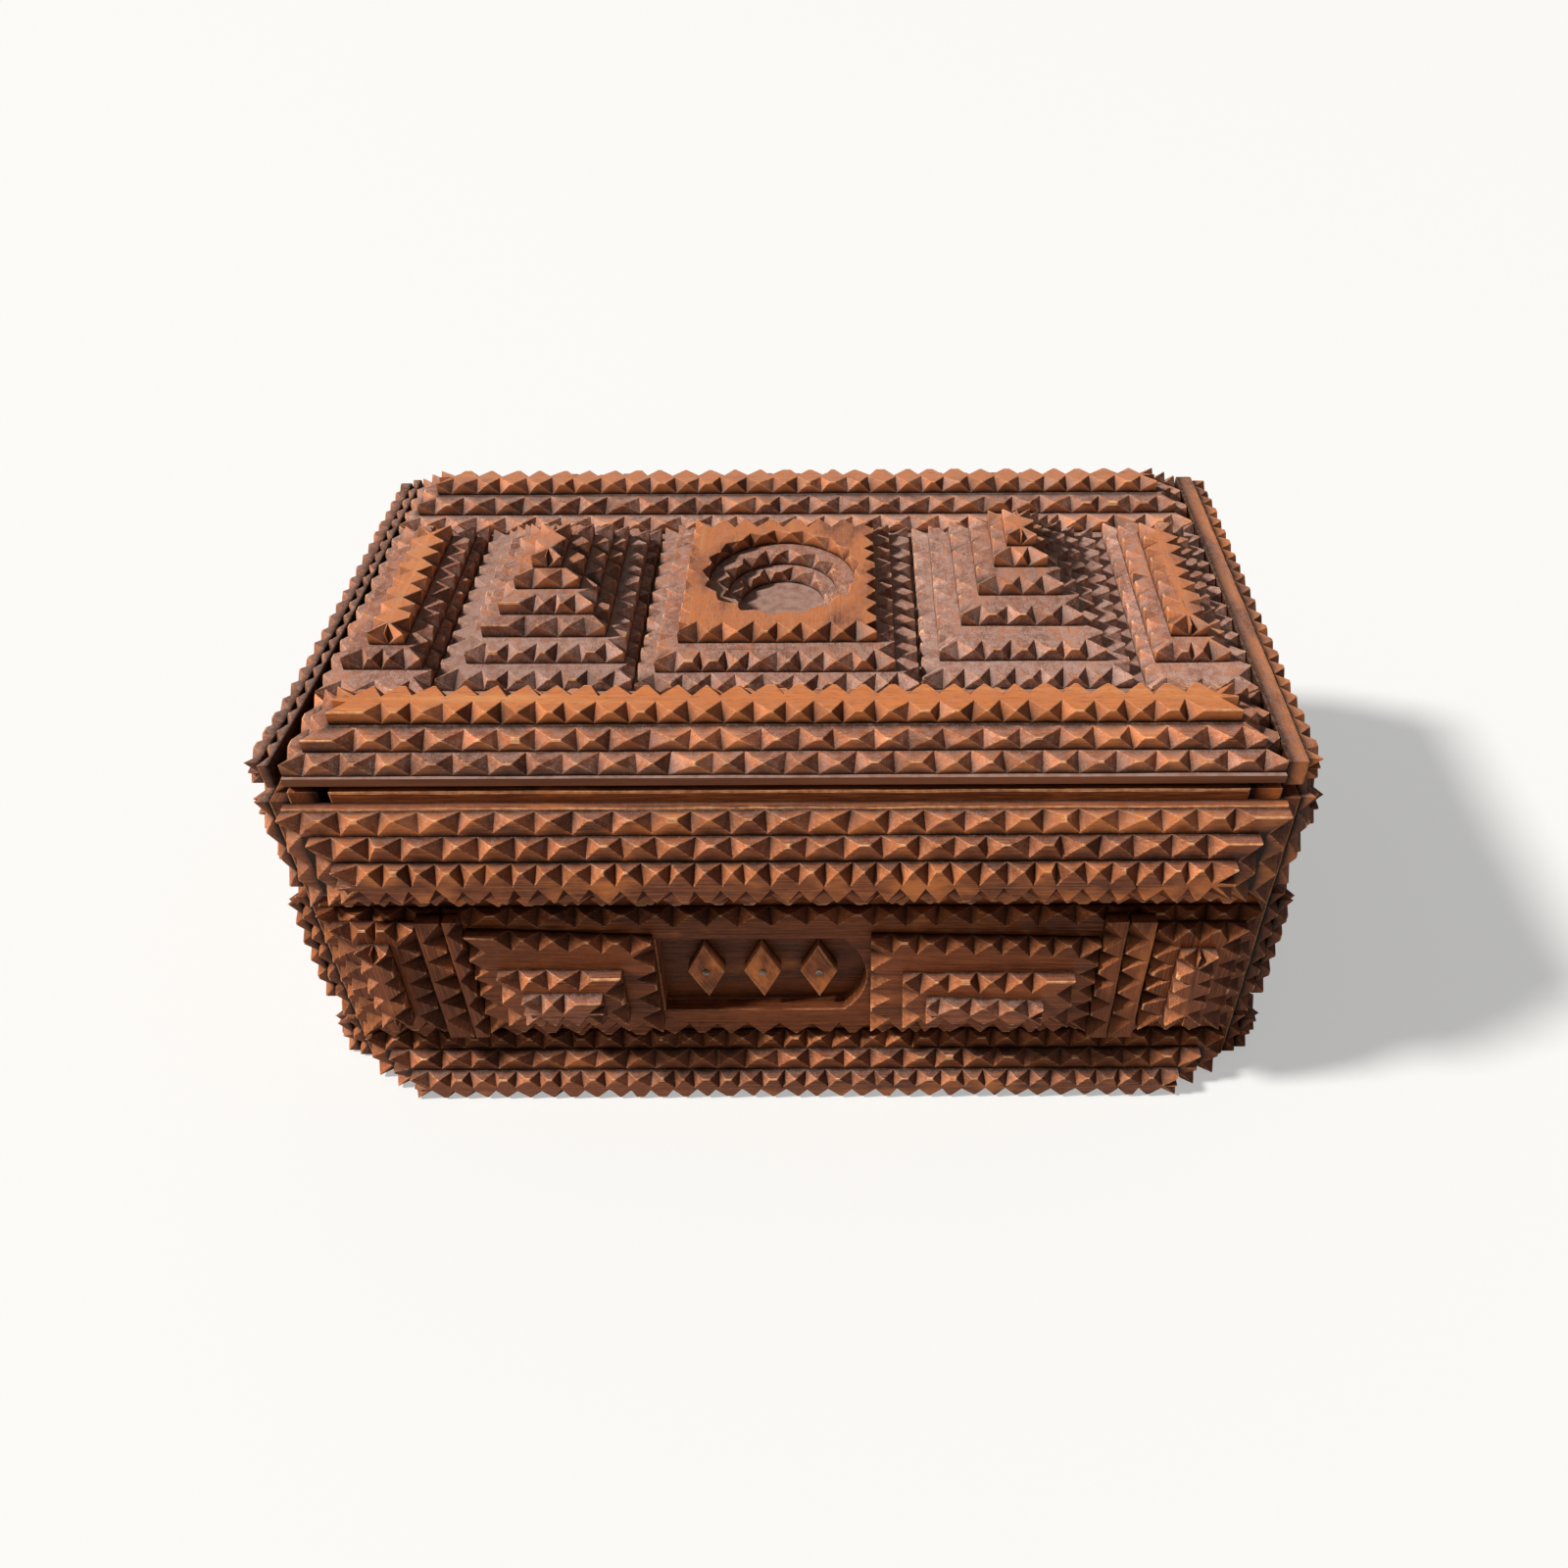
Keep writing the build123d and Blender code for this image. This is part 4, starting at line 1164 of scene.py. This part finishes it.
@dataclass
class Workshop:
    """The frame and the finishes, shared by everything that is built."""

    frame: dict
    carved: bpy.types.Material = field(init=False)
    plain: bpy.types.Material = field(init=False)
    inside: bpy.types.Material = field(init=False)
    brass: bpy.types.Material = field(init=False)
    steel: bpy.types.Material = field(init=False)

    def __post_init__(self) -> None:
        """Make the finishes."""
        self.carved = CarvedCedar().make()
        self.plain = PlainCedar(
            name="lid_cedar",
            dark=(0.11, 0.032, 0.014, 1),
            light=(0.27, 0.090, 0.036, 1),
            stain=(0.03, 0.012, 0.008, 1),
            roughness=0.5,
            coat=0.05,
            grime=0.5,
            dusting=0.95,
        ).make()
        self.inside = PlainCedar(
            name="inside_cedar",
            dark=(0.26, 0.115, 0.060, 1),
            light=(0.46, 0.240, 0.140, 1),
            stain=(0.12, 0.05, 0.03, 1),
            roughness=0.65,
            coat=0.0,
            grime=0.35,
        ).make()
        self.brass = Metal("old_brass", (0.62, 0.43, 0.17, 1), (0.20, 0.12, 0.06, 1), 0.32).make()
        self.steel = Metal("old_steel", (0.34, 0.30, 0.27, 1), (0.12, 0.07, 0.05, 1), 0.42).make()

    def solids(self, node: str) -> list[np.ndarray]:
        """Boxes of the solids in a node."""
        return solids_of(self.frame["nodes"][node])

    def body_of(self, node: str) -> str:
        """The body that a node rides on."""
        return self.frame["nodes"][node]["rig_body"]

    def place(self, surface: Surface, node: str, slot: Slot) -> None:
        """Make a piece from a surface and let it stand for a node of the frame.

        Args:
            surface: The finished surface.
            node: The node that it replaces, whose body it rides on.
            slot: The record's material slot.
        """
        piece = surface.make(node + ("_carved" if slot is Slot.CARVED else "_board"))
        piece.data.materials.append(self.carved)
        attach(piece, self.body_of(node))
        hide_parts(node)
        log.info("%s: %d triangles", piece.name, len(piece.data.polygons))

    def lay(self, boards: list[Board], node: str, slot: Slot) -> None:
        """Build the boards of a node into one piece, which stands for the node as in place."""
        surface = Surface()
        for board in boards:
            board.build(surface)
        self.place(surface, node, slot)

    def coat(self, node: str, material: bpy.types.Material) -> None:
        """Give a frame node that keeps its own shape its finish."""
        mesh = self.frame["nodes"][node].data
        mesh.materials.clear()
        mesh.materials.append(material)
        log.info("%s: frame shape, %s", node, material.name)


def seed_of(node: str, index: int) -> int:
    """A steady seed for one board of a node."""
    return zlib.crc32(f"{node}/{index}".encode())


def outward_face(node: str, box: np.ndarray) -> Face:
    """The side of the box that a board faces, from its node's name and its place."""
    middle = box.mean(axis=0)
    if node.startswith(("lid_end", "end_", "core_ends")):
        return Face.LEFT if middle[0] < 0 else Face.RIGHT
    if node.startswith(("long_", "front_", "back_", "core_front")):
        return Face.FRONT if middle[1] < 0 else Face.BACK
    return Face.TOP


WIDE = Knife(9.0)
COARSE = Knife(8.4)
MIDDLE = Knife(7.3)
CLOSE = Knife(6.5)
FINE = Knife(6.0)
STRIP = Knife(8.4, shallow=0.95, deep=1.0)


@dataclass
class CarvedLayers:
    """Boards that are carved alike: their nodes, with the knife and the look of each.

    Attributes:
        shop: The frame and the finishes.
        knives: The knife of each node.
        looks: The look of each node.
        plain_ends: Uncut lengths of single boards, by node and index.
        runs: Runs of single boards' edges that differ from the knife's own.
        strips: Narrow boards that are notched on one long edge only, right across.
        leans: How far single boards' corners stand off. The others get small ones of their own.
        crowded: How much grime, dust and painted shade gather on a node's faces beside their notches.
    """

    shop: Workshop
    knives: dict[str, Knife]
    looks: dict[str, Look]
    plain_ends: dict[tuple[str, int], dict[Edge, tuple[float, float]]] = field(default_factory=dict)
    runs: dict[tuple[str, int], dict[Edge, float]] = field(default_factory=dict)
    strips: dict[tuple[str, int], Edge] = field(default_factory=dict)
    leans: dict[tuple[str, int], tuple] = field(default_factory=dict)
    crowded: dict[str, float] = field(default_factory=dict)
    tone_spread: float = 0.09
    lean_spread: float = 0.4
    polish_spread: float = 0.08
    dust_spread: float = 0.15
    strip_share: float = 0.98
    strip_wear: tuple[float, float] = (0.01, 0.03)

    def board(self, node: str, index: int, box: np.ndarray) -> Board:
        """One board, with its own small differences."""
        rng = np.random.default_rng(seed_of(node, index) + 1)
        look = self.looks[node]
        own = Look(
            polish=look.polish + rng.uniform(-self.polish_spread, self.polish_spread),
            dust=look.dust * rng.uniform(1 - self.dust_spread, 1 + self.dust_spread),
            tone=look.tone + rng.uniform(-self.tone_spread, self.tone_spread),
        )
        small = rng.uniform(0, self.lean_spread, (4, 2)) * ((1, 1), (-1, 1), (-1, -1), (1, -1))
        key = (node, index)
        board = Board(
            box=box,
            face=outward_face(node, box),
            knife=STRIP if key in self.strips else self.knives[node],
            look=own,
            seed=seed_of(node, index),
            plain_ends=self.plain_ends.get(key, {}),
            runs=self.runs.get(key, {}),
            lean=self.leans.get(key, tuple(map(tuple, small))),
            crowded=self.crowded.get(node, 0.0),
        )
        if key in self.strips:
            board.plain_edges = frozenset(Edge) - {self.strips[key]}
            board.runs = {self.strips[key]: self.strip_share * min(board.size[0], board.size[1])}
            board.plain_wear = self.strip_wear
        return board

    def build(self) -> None:
        """Make each node's boards and put them in its place."""
        for node in self.knives:
            boxes = enumerate(self.shop.solids(node))
            self.shop.lay([self.board(node, index, box) for index, box in boxes], node, Slot.CARVED)


# How much grime, dust and painted shade gather on a stepped rail's face where the next step stands on it
CROWDED = 0.9


def body_rails(shop: Workshop) -> CarvedLayers:
    """The three-step rails below the lid and at the foot, all round."""
    steps = {
        "top": (
            (WIDE, Look(0.46, 0.34, 0.07)),
            (COARSE, Look(0.44, 0.30, 0.17)),
            (FINE, Look(0.38, 0.22)),
        ),
        "base": (
            (MIDDLE, Look(0.3, 0.12)),
            (COARSE, Look(0.32, 0.2)),
            (FINE, Look(0.38, 0.4)),
        ),
    }
    knives, looks = {}, {}
    for step in range(3):
        for sides in ("long", "end"):
            for height, cuts in steps.items():
                node = f"{sides}_{height}_rails_{step + 1}"
                knives[node], looks[node] = cuts[step]
    crowded = {node: CROWDED for node in knives if not node.endswith("3")}
    right_block = {Edge.HIGH: (7.5, 0.0)}
    plain_ends = {("long_top_rails_1", 0): right_block, ("long_top_rails_2", 0): right_block}
    teeth = {Edge.LOW: 6.3, Edge.HIGH: 5.2}
    runs = {(f"{sides}_top_rails_3", index): teeth for sides in ("long", "end") for index in range(2)}
    return CarvedLayers(shop, knives, looks, plain_ends=plain_ends, crowded=crowded, runs=runs)


def body_tiers(shop: Workshop) -> CarvedLayers:
    """The field boards and stacks on the back and the ends, and the stacks on the front."""
    knives = {"back_field_board": COARSE, "end_field_boards": COARSE}
    for tier in (1, 2, 3):
        knives[f"front_tier_{tier}"] = MIDDLE
        knives[f"back_tier_{tier}"] = MIDDLE
    for tier in (1, 2):
        knives[f"end_tier_{tier}"] = MIDDLE
    looks = {node: Look(0.24, 0.12, -0.12) for node in knives}
    looks["front_tier_2"] = Look(0.32, 0.2)
    looks["front_tier_3"] = Look(0.34, 0.4)
    return CarvedLayers(
        shop,
        knives,
        looks,
        plain_ends={
            ("front_tier_1", 3): {Edge.HIGH: (0.0, 7.0)},
            ("front_tier_2", 1): {Edge.HIGH: (6.5, 0.0)},
            ("front_tier_2", 2): {Edge.HIGH: (6.5, 0.0)},
            ("front_tier_3", 0): {Edge.HIGH: (6.0, 0.0)},
        },
        runs={
            ("front_tier_1", 0): {Edge.LEFT: 6.0, Edge.RIGHT: 6.2},
            ("front_tier_1", 3): {Edge.RIGHT: 5.4},
            ("front_tier_1", 4): {Edge.LEFT: 5.2},
            ("front_tier_1", 7): {Edge.LEFT: 6.2, Edge.RIGHT: 6.0},
            ("front_tier_2", 1): {Edge.RIGHT: 4.8},
        },
        strips={
            ("front_tier_1", 1): Edge.RIGHT,
            ("front_tier_1", 2): Edge.RIGHT,
            ("front_tier_1", 5): Edge.LEFT,
            ("front_tier_1", 6): Edge.LEFT,
        },
        leans={
            ("front_tier_1", 3): ((0.0, 0.0), (0.0, 0.3), (0.0, -1.5), (0.2, 1.3)),
            ("front_tier_1", 4): ((0.0, 0.4), (0.0, 0.0), (0.0, -1.1), (0.0, 0.6)),
            ("front_tier_3", 1): ((0.0, 0.5), (0.0, -0.4), (0.0, -0.8), (0.0, 0.7)),
        },
    )


def lid_layers(shop: Workshop) -> CarvedLayers:
    """The lid's border, the tiers on its sides and its two pyramids."""
    steps = (
        (COARSE, Look(0.5, 0.48, 0.15)),
        (COARSE, Look(0.52, 0.42, 0.12)),
        (MIDDLE, Look(0.88, 0.24, -0.03)),
    )
    added_dust = {"front": 0.0, "back": 0.3}
    knives, looks = {}, {}
    for step, (knife, look) in enumerate(steps):
        for side, more in added_dust.items():
            node = f"lid_{side}_rail_{step + 1}"
            knives[node], looks[node] = knife, replace(look, dust=look.dust + more)
    crowded = {node: CROWDED for node in knives if not node.endswith("3")}
    knives["lid_side_rails"] = MIDDLE
    looks["lid_side_rails"] = Look(0.35, 0.95, 0.2)
    for tier in range(2):
        knives[f"lid_side_tier_{tier + 1}"] = FINE
        looks[f"lid_side_tier_{tier + 1}"] = Look((0.45, 0.66)[tier], (0.7, 0.35)[tier])
    for tier in range(6):
        knives[f"pyramid_tier_{tier + 1}"] = CLOSE if tier < 2 else MIDDLE
        looks[f"pyramid_tier_{tier + 1}"] = Look(0.3 + 0.08 * tier, 1.15 - 0.12 * tier)
    return CarvedLayers(
        shop,
        knives,
        looks,
        crowded=crowded,
        plain_ends={
            ("lid_front_rail_2", 0): {Edge.LOW: (7.0, 0.0)},
            ("lid_front_rail_3", 0): {Edge.LOW: (8.0, 8.5)},
            ("pyramid_tier_3", 0): {Edge.LOW: (6.5, 0.0)},
            ("pyramid_tier_4", 0): {Edge.LOW: (5.0, 0.0)},
        },
        runs={
            ("lid_side_rails", 0): {Edge.LEFT: 3.0},
            ("lid_front_rail_1", 0): {Edge.LEFT: 3.2},
            ("lid_back_rail_1", 0): {Edge.LEFT: 3.2},
        },
    )


@dataclass
class Bowl:
    """The middle square of the lid: three boards whose round holes widen upwards into a bowl."""

    shop: Workshop
    centre: tuple[float, float] = (-2.7, 2.4)
    radii: tuple[float, ...] = (11.2, 14.4, 19.3)
    notches: tuple[int, ...] = (11, 15, 17)
    hole_runs: tuple[float, ...] = (2.6, 2.6, 1.7)
    side_run: float = 2.7
    looks: tuple[Look, ...] = (Look(0.35, 1.0), Look(0.42, 0.8), Look(0.68, 0.35, -0.12))

    def build(self) -> None:
        """Make the three boards."""
        narrow = {Edge.LEFT: self.side_run, Edge.RIGHT: self.side_run}
        for level, radius in enumerate(self.radii):
            node = f"bowl_board_{level + 1}"
            board = Board(
                box=self.shop.solids(node)[0],
                face=Face.TOP,
                knife=CLOSE,
                look=self.looks[level],
                seed=seed_of(node, 0),
                runs=narrow if level == 2 else {},
                hole=RoundHole(self.centre, radius, self.notches[level], self.hole_runs[level]),
            )
            self.shop.lay([board], node, Slot.CARVED)


@dataclass
class FrontWindow:
    """The front field board with its window, and the lozenges in it."""

    shop: Workshop
    left: float = -33.6
    shoulder: float = 13.3
    right: float = 19.2
    low: float = 29.1
    high: float = 56.9
    sink: float = 1.1
    lozenge_look: Look = Look(0.5, 0.12, 0.18)
    lozenge_wear: tuple[float, float] = (0.25, 0.45)

    def window(self, depth: float) -> BowedWindow:
        """The window cut to a depth."""
        return BowedWindow(self.left, self.shoulder, self.right, self.low, self.high, depth)

    def lozenge(self, node: str, index: int, box: np.ndarray) -> Board:
        """A plain square whose corners lean over to the middles of its box's edges."""
        width, height = box[1, 0] - box[0, 0], box[1, 2] - box[0, 2]
        return Board(
            box=box,
            face=Face.FRONT,
            knife=None,
            look=self.lozenge_look,
            seed=seed_of(node, index),
            lean=((width / 2, 0.0), (0.0, height / 2), (-width / 2, 0.0), (0.0, -height / 2)),
            unevenness=0.0,
            plain_wear=self.lozenge_wear,
        )

    def build(self) -> None:
        """Make the board, the sunk backing and the lozenges."""
        node = "front_field_board"
        board = Board(
            box=self.shop.solids(node)[0],
            face=Face.FRONT,
            knife=COARSE,
            look=Look(0.24, 0.06, -0.15),
            seed=seed_of(node, 0),
            lean=((0.0, -0.8), (0.0, 1.2), (0.0, 0.0), (0.0, 0.0)),
            hole=self.window(LAYER),
        )
        self.shop.lay([board], node, Slot.CARVED)

        node = "front_backing"
        backing = Board(
            box=self.shop.solids(node)[0],
            face=Face.FRONT,
            knife=None,
            look=Look(0.3, 0.15),
            seed=seed_of(node, 0),
            hole=self.window(self.sink),
        )
        self.shop.lay([backing], node, Slot.PLAIN)

        node = "window_lozenges"
        boxes = enumerate(self.shop.solids(node))
        self.shop.lay([self.lozenge(node, index, box) for index, box in boxes], node, Slot.PLAIN)
        self.shop.coat("window_nails", self.shop.steel)


@dataclass
class PlainBoards:
    """Plain boards with soft edges: the backings and the thin box's front and ends."""

    shop: Workshop
    looks: dict[str, Look] = field(
        default_factory=lambda: {
            "back_backing": Look(0.25, 0.15),
            "end_backings": Look(0.2, 0.15, -0.3),
            "core_front": Look(0.3, 0.05),
            "core_ends": Look(0.35, 0.1),
        }
    )

    def build(self) -> None:
        """Make the boards, and coat those that keep the frame's shape."""
        for node, look in self.looks.items():
            boards = []
            for index, box in enumerate(self.shop.solids(node)):
                boards.append(Board(box, outward_face(node, box), None, look, seed_of(node, index)))
            self.shop.lay(boards, node, Slot.PLAIN)
        self.shop.coat("core_back", self.shop.inside)
        self.shop.coat("core_floor", self.shop.inside)
        self.shop.coat("lid_board", self.shop.plain)


@dataclass
class LidEnds:
    """The rails and carved strips at the lid's ends, the left pair sprung open at the front.

    The left pair is moved out by the splay times the share of its length from the rear, raised to the
    power of its bow. It is also duller, dustier and darker than the right pair.
    """

    shop: Workshop
    splay_degrees: float = 1.0
    left_thickness: float = 2.6
    bow: float = 3.0
    top_run: float = 3.6
    lost_polish: float = 0.3
    added_dust: float = 0.25
    lost_tone: float = 0.12

    def _pair(self, node: str, knife: Knife | None, look: Look) -> Surface:
        """Build both boards of a node: the right one from the frame, the left one its bowed mirror.

        Args:
            node: The node of the pair.
            knife: How they are cut, or None for rails, of which the left one has a toothed upper edge.
            look: What the right one looks like.

        Returns:
            The surface that holds both.
        """
        right_box = self.shop.solids(node)[-1]
        rail = self.shop.solids("lid_end_rails")[-1]
        left_box = right_box * (-1, 1, 1)
        left_box[:, 0] = np.sort(left_box[:, 0]) + (rail[1, 0] - rail[0, 0]) - self.left_thickness
        left_box[1, 0] = min(left_box[1, 0], -rail[0, 0])
        surface = Surface()
        Board(right_box, Face.RIGHT, knife, look, seed_of(node, 1)).build(surface)
        before = len(surface.points)
        old = Look(
            polish=look.polish - self.lost_polish,
            dust=look.dust + self.added_dust,
            tone=look.tone - self.lost_tone,
        )
        left = Board(left_box, Face.LEFT, knife or FINE, old, seed_of(node, 0))
        if knife is None:
            left.plain_edges = frozenset(Edge) - {Edge.HIGH}
            left.runs = {Edge.HIGH: self.top_run}
        left.build(surface)
        length = rail[1, 1] - rail[0, 1]
        swing = length * math.sin(math.radians(self.splay_degrees))
        for points in surface.points[before:]:
            points[:, 0] -= swing * np.clip((rail[1, 1] - points[:, 1]) / length, 0, 1) ** self.bow
        return surface

    def build(self) -> None:
        """Make the rails and the strips."""
        rails = self._pair("lid_end_rails", None, Look(0.58, 0.4, -0.04))
        self.shop.place(rails, "lid_end_rails", Slot.PLAIN)
        strips = self._pair("lid_end_strips", FINE, Look(0.6, 0.3))
        self.shop.place(strips, "lid_end_strips", Slot.CARVED)


@dataclass
class Hinges:
    """The brass leaves, pins and screws, in the frame's own shape."""

    shop: Workshop
    nodes: tuple[str, ...] = (
        "hinge_body_leaves",
        "hinge_lid_leaves",
        "hinge_pins",
        "hinge_body_screws",
        "hinge_lid_screws",
    )

    def build(self) -> None:
        """Coat them all."""
        for node in self.nodes:
            self.shop.coat(node, self.shop.brass)


@dataclass
class Studio:
    """The floor, the lamps and the camera at the photograph's viewing angle.

    The camera is given in pixels of a square image and in millimetres. Towards the camera the floor and
    the sky are whitened by light of their own, so that they look white at the plain level of the lamps.
    """

    image: float = 1600.0
    focal_pixels: float = 1308.56
    centre_pixels: tuple[float, float] = (864.49, 800.97)
    pitch_degrees: float = 41.6
    roll_degrees: float = 0.22
    eye: tuple[float, float, float] = (14.43, -288.09, 298.12)
    sensor: float = 36.0
    floor_size: float = 8.0
    floor_colour: tuple = (0.505, 0.50, 0.488, 1)
    floor_whitening: float = 0.405
    near: float = 0.01
    key_colour: tuple[float, float, float] = (1.0, 0.985, 0.96)
    key_from: tuple[float, float, float] = (-0.72, -0.12, 0.68)
    key_strength: float = 4.4
    key_angle: float = 8.0
    sky_strength: float = 0.15
    sky_seen: float = 0.95

    def camera(self) -> None:
        """Place the camera: looking along +Y, pitched down, with a small roll and a shifted centre."""
        pitch, roll = math.radians(self.pitch_degrees), math.radians(self.roll_degrees)
        right = Vector((1, 0, 0))
        down = Vector((0, -math.sin(pitch), -math.cos(pitch)))
        forward = Vector((0, math.cos(pitch), -math.sin(pitch)))
        across = right * math.cos(roll) + down * math.sin(roll)
        below = down * math.cos(roll) - right * math.sin(roll)
        turn = Matrix((across, -below, -forward)).transposed().to_4x4()
        turn.translation = Vector(self.eye) * MM
        data = bpy.data.cameras.new("camera")
        data.sensor_width = self.sensor
        data.lens = self.focal_pixels / self.image * self.sensor
        data.shift_x = (self.image / 2 - self.centre_pixels[0]) / self.image
        data.shift_y = (self.centre_pixels[1] - self.image / 2) / self.image
        data.clip_start = self.near
        camera = bpy.data.objects.new("camera", data)
        camera.matrix_world = turn
        bpy.context.scene.collection.objects.link(camera)
        bpy.context.scene.camera = camera

    def lights(self) -> None:
        """A broad key light from the left and an even, weaker sky that looks white by itself."""
        data = bpy.data.lights.new("key", "SUN")
        data.energy = self.key_strength
        data.angle = math.radians(self.key_angle)
        data.color = self.key_colour
        lamp = bpy.data.objects.new("key", data)
        lamp.rotation_euler = Vector(self.key_from).to_track_quat("Z", "Y").to_euler()
        bpy.context.scene.collection.objects.link(lamp)

        world = bpy.data.worlds.new("sky")
        world.use_nodes = True
        tree = world.node_tree
        background = tree.nodes["Background"]
        background.inputs["Color"].default_value = (1.0, 1.0, 0.995, 1)
        path = tree.nodes.new("ShaderNodeLightPath")
        strength = tree.nodes.new("ShaderNodeMapRange")
        strength.inputs["To Min"].default_value = self.sky_strength
        strength.inputs["To Max"].default_value = self.sky_seen
        tree.links.new(path.outputs["Is Camera Ray"], strength.inputs["Value"])
        tree.links.new(strength.outputs["Result"], background.inputs["Strength"])
        bpy.context.scene.world = world
        bpy.context.scene.view_settings.view_transform = "Standard"

    def floor(self) -> None:
        """A wide pale floor."""
        half = self.floor_size / 2
        corners = [(-half, -half, 0), (half, -half, 0), (half, half, 0), (-half, half, 0)]
        mesh = bpy.data.meshes.new("floor")
        mesh.from_pydata(corners, [], [(0, 1, 2, 3)])
        floor = bpy.data.objects.new("floor", mesh)
        bpy.context.scene.collection.objects.link(floor)
        g = Graph("floor_paper")
        white = g.node("ShaderNodeLightPath", {}, {}, "Is Camera Ray") * self.floor_whitening
        paper = g.finish(
            {
                "Base Color": self.floor_colour,
                "Roughness": 0.9,
                "Emission Color": g.mix(white, (0, 0, 0, 1), (1.0, 1.0, 0.985, 1)),
                "Emission Strength": 1.0,
            }
        )
        mesh.materials.append(paper)

    def build(self) -> None:
        """Set up the whole studio."""
        self.camera()
        self.lights()
        self.floor()


def main() -> None:
    """Load the frame, set up the studio and build every piece."""
    logging.basicConfig(level=logging.INFO, format="%(message)s")
    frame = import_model()
    Studio().build()
    shop = Workshop(frame)
    for part in (
        body_rails(shop),
        body_tiers(shop),
        FrontWindow(shop),
        lid_layers(shop),
        Bowl(shop),
        LidEnds(shop),
        PlainBoards(shop),
        Hinges(shop),
    ):
        part.build()


if __name__ == "__main__":
    main()
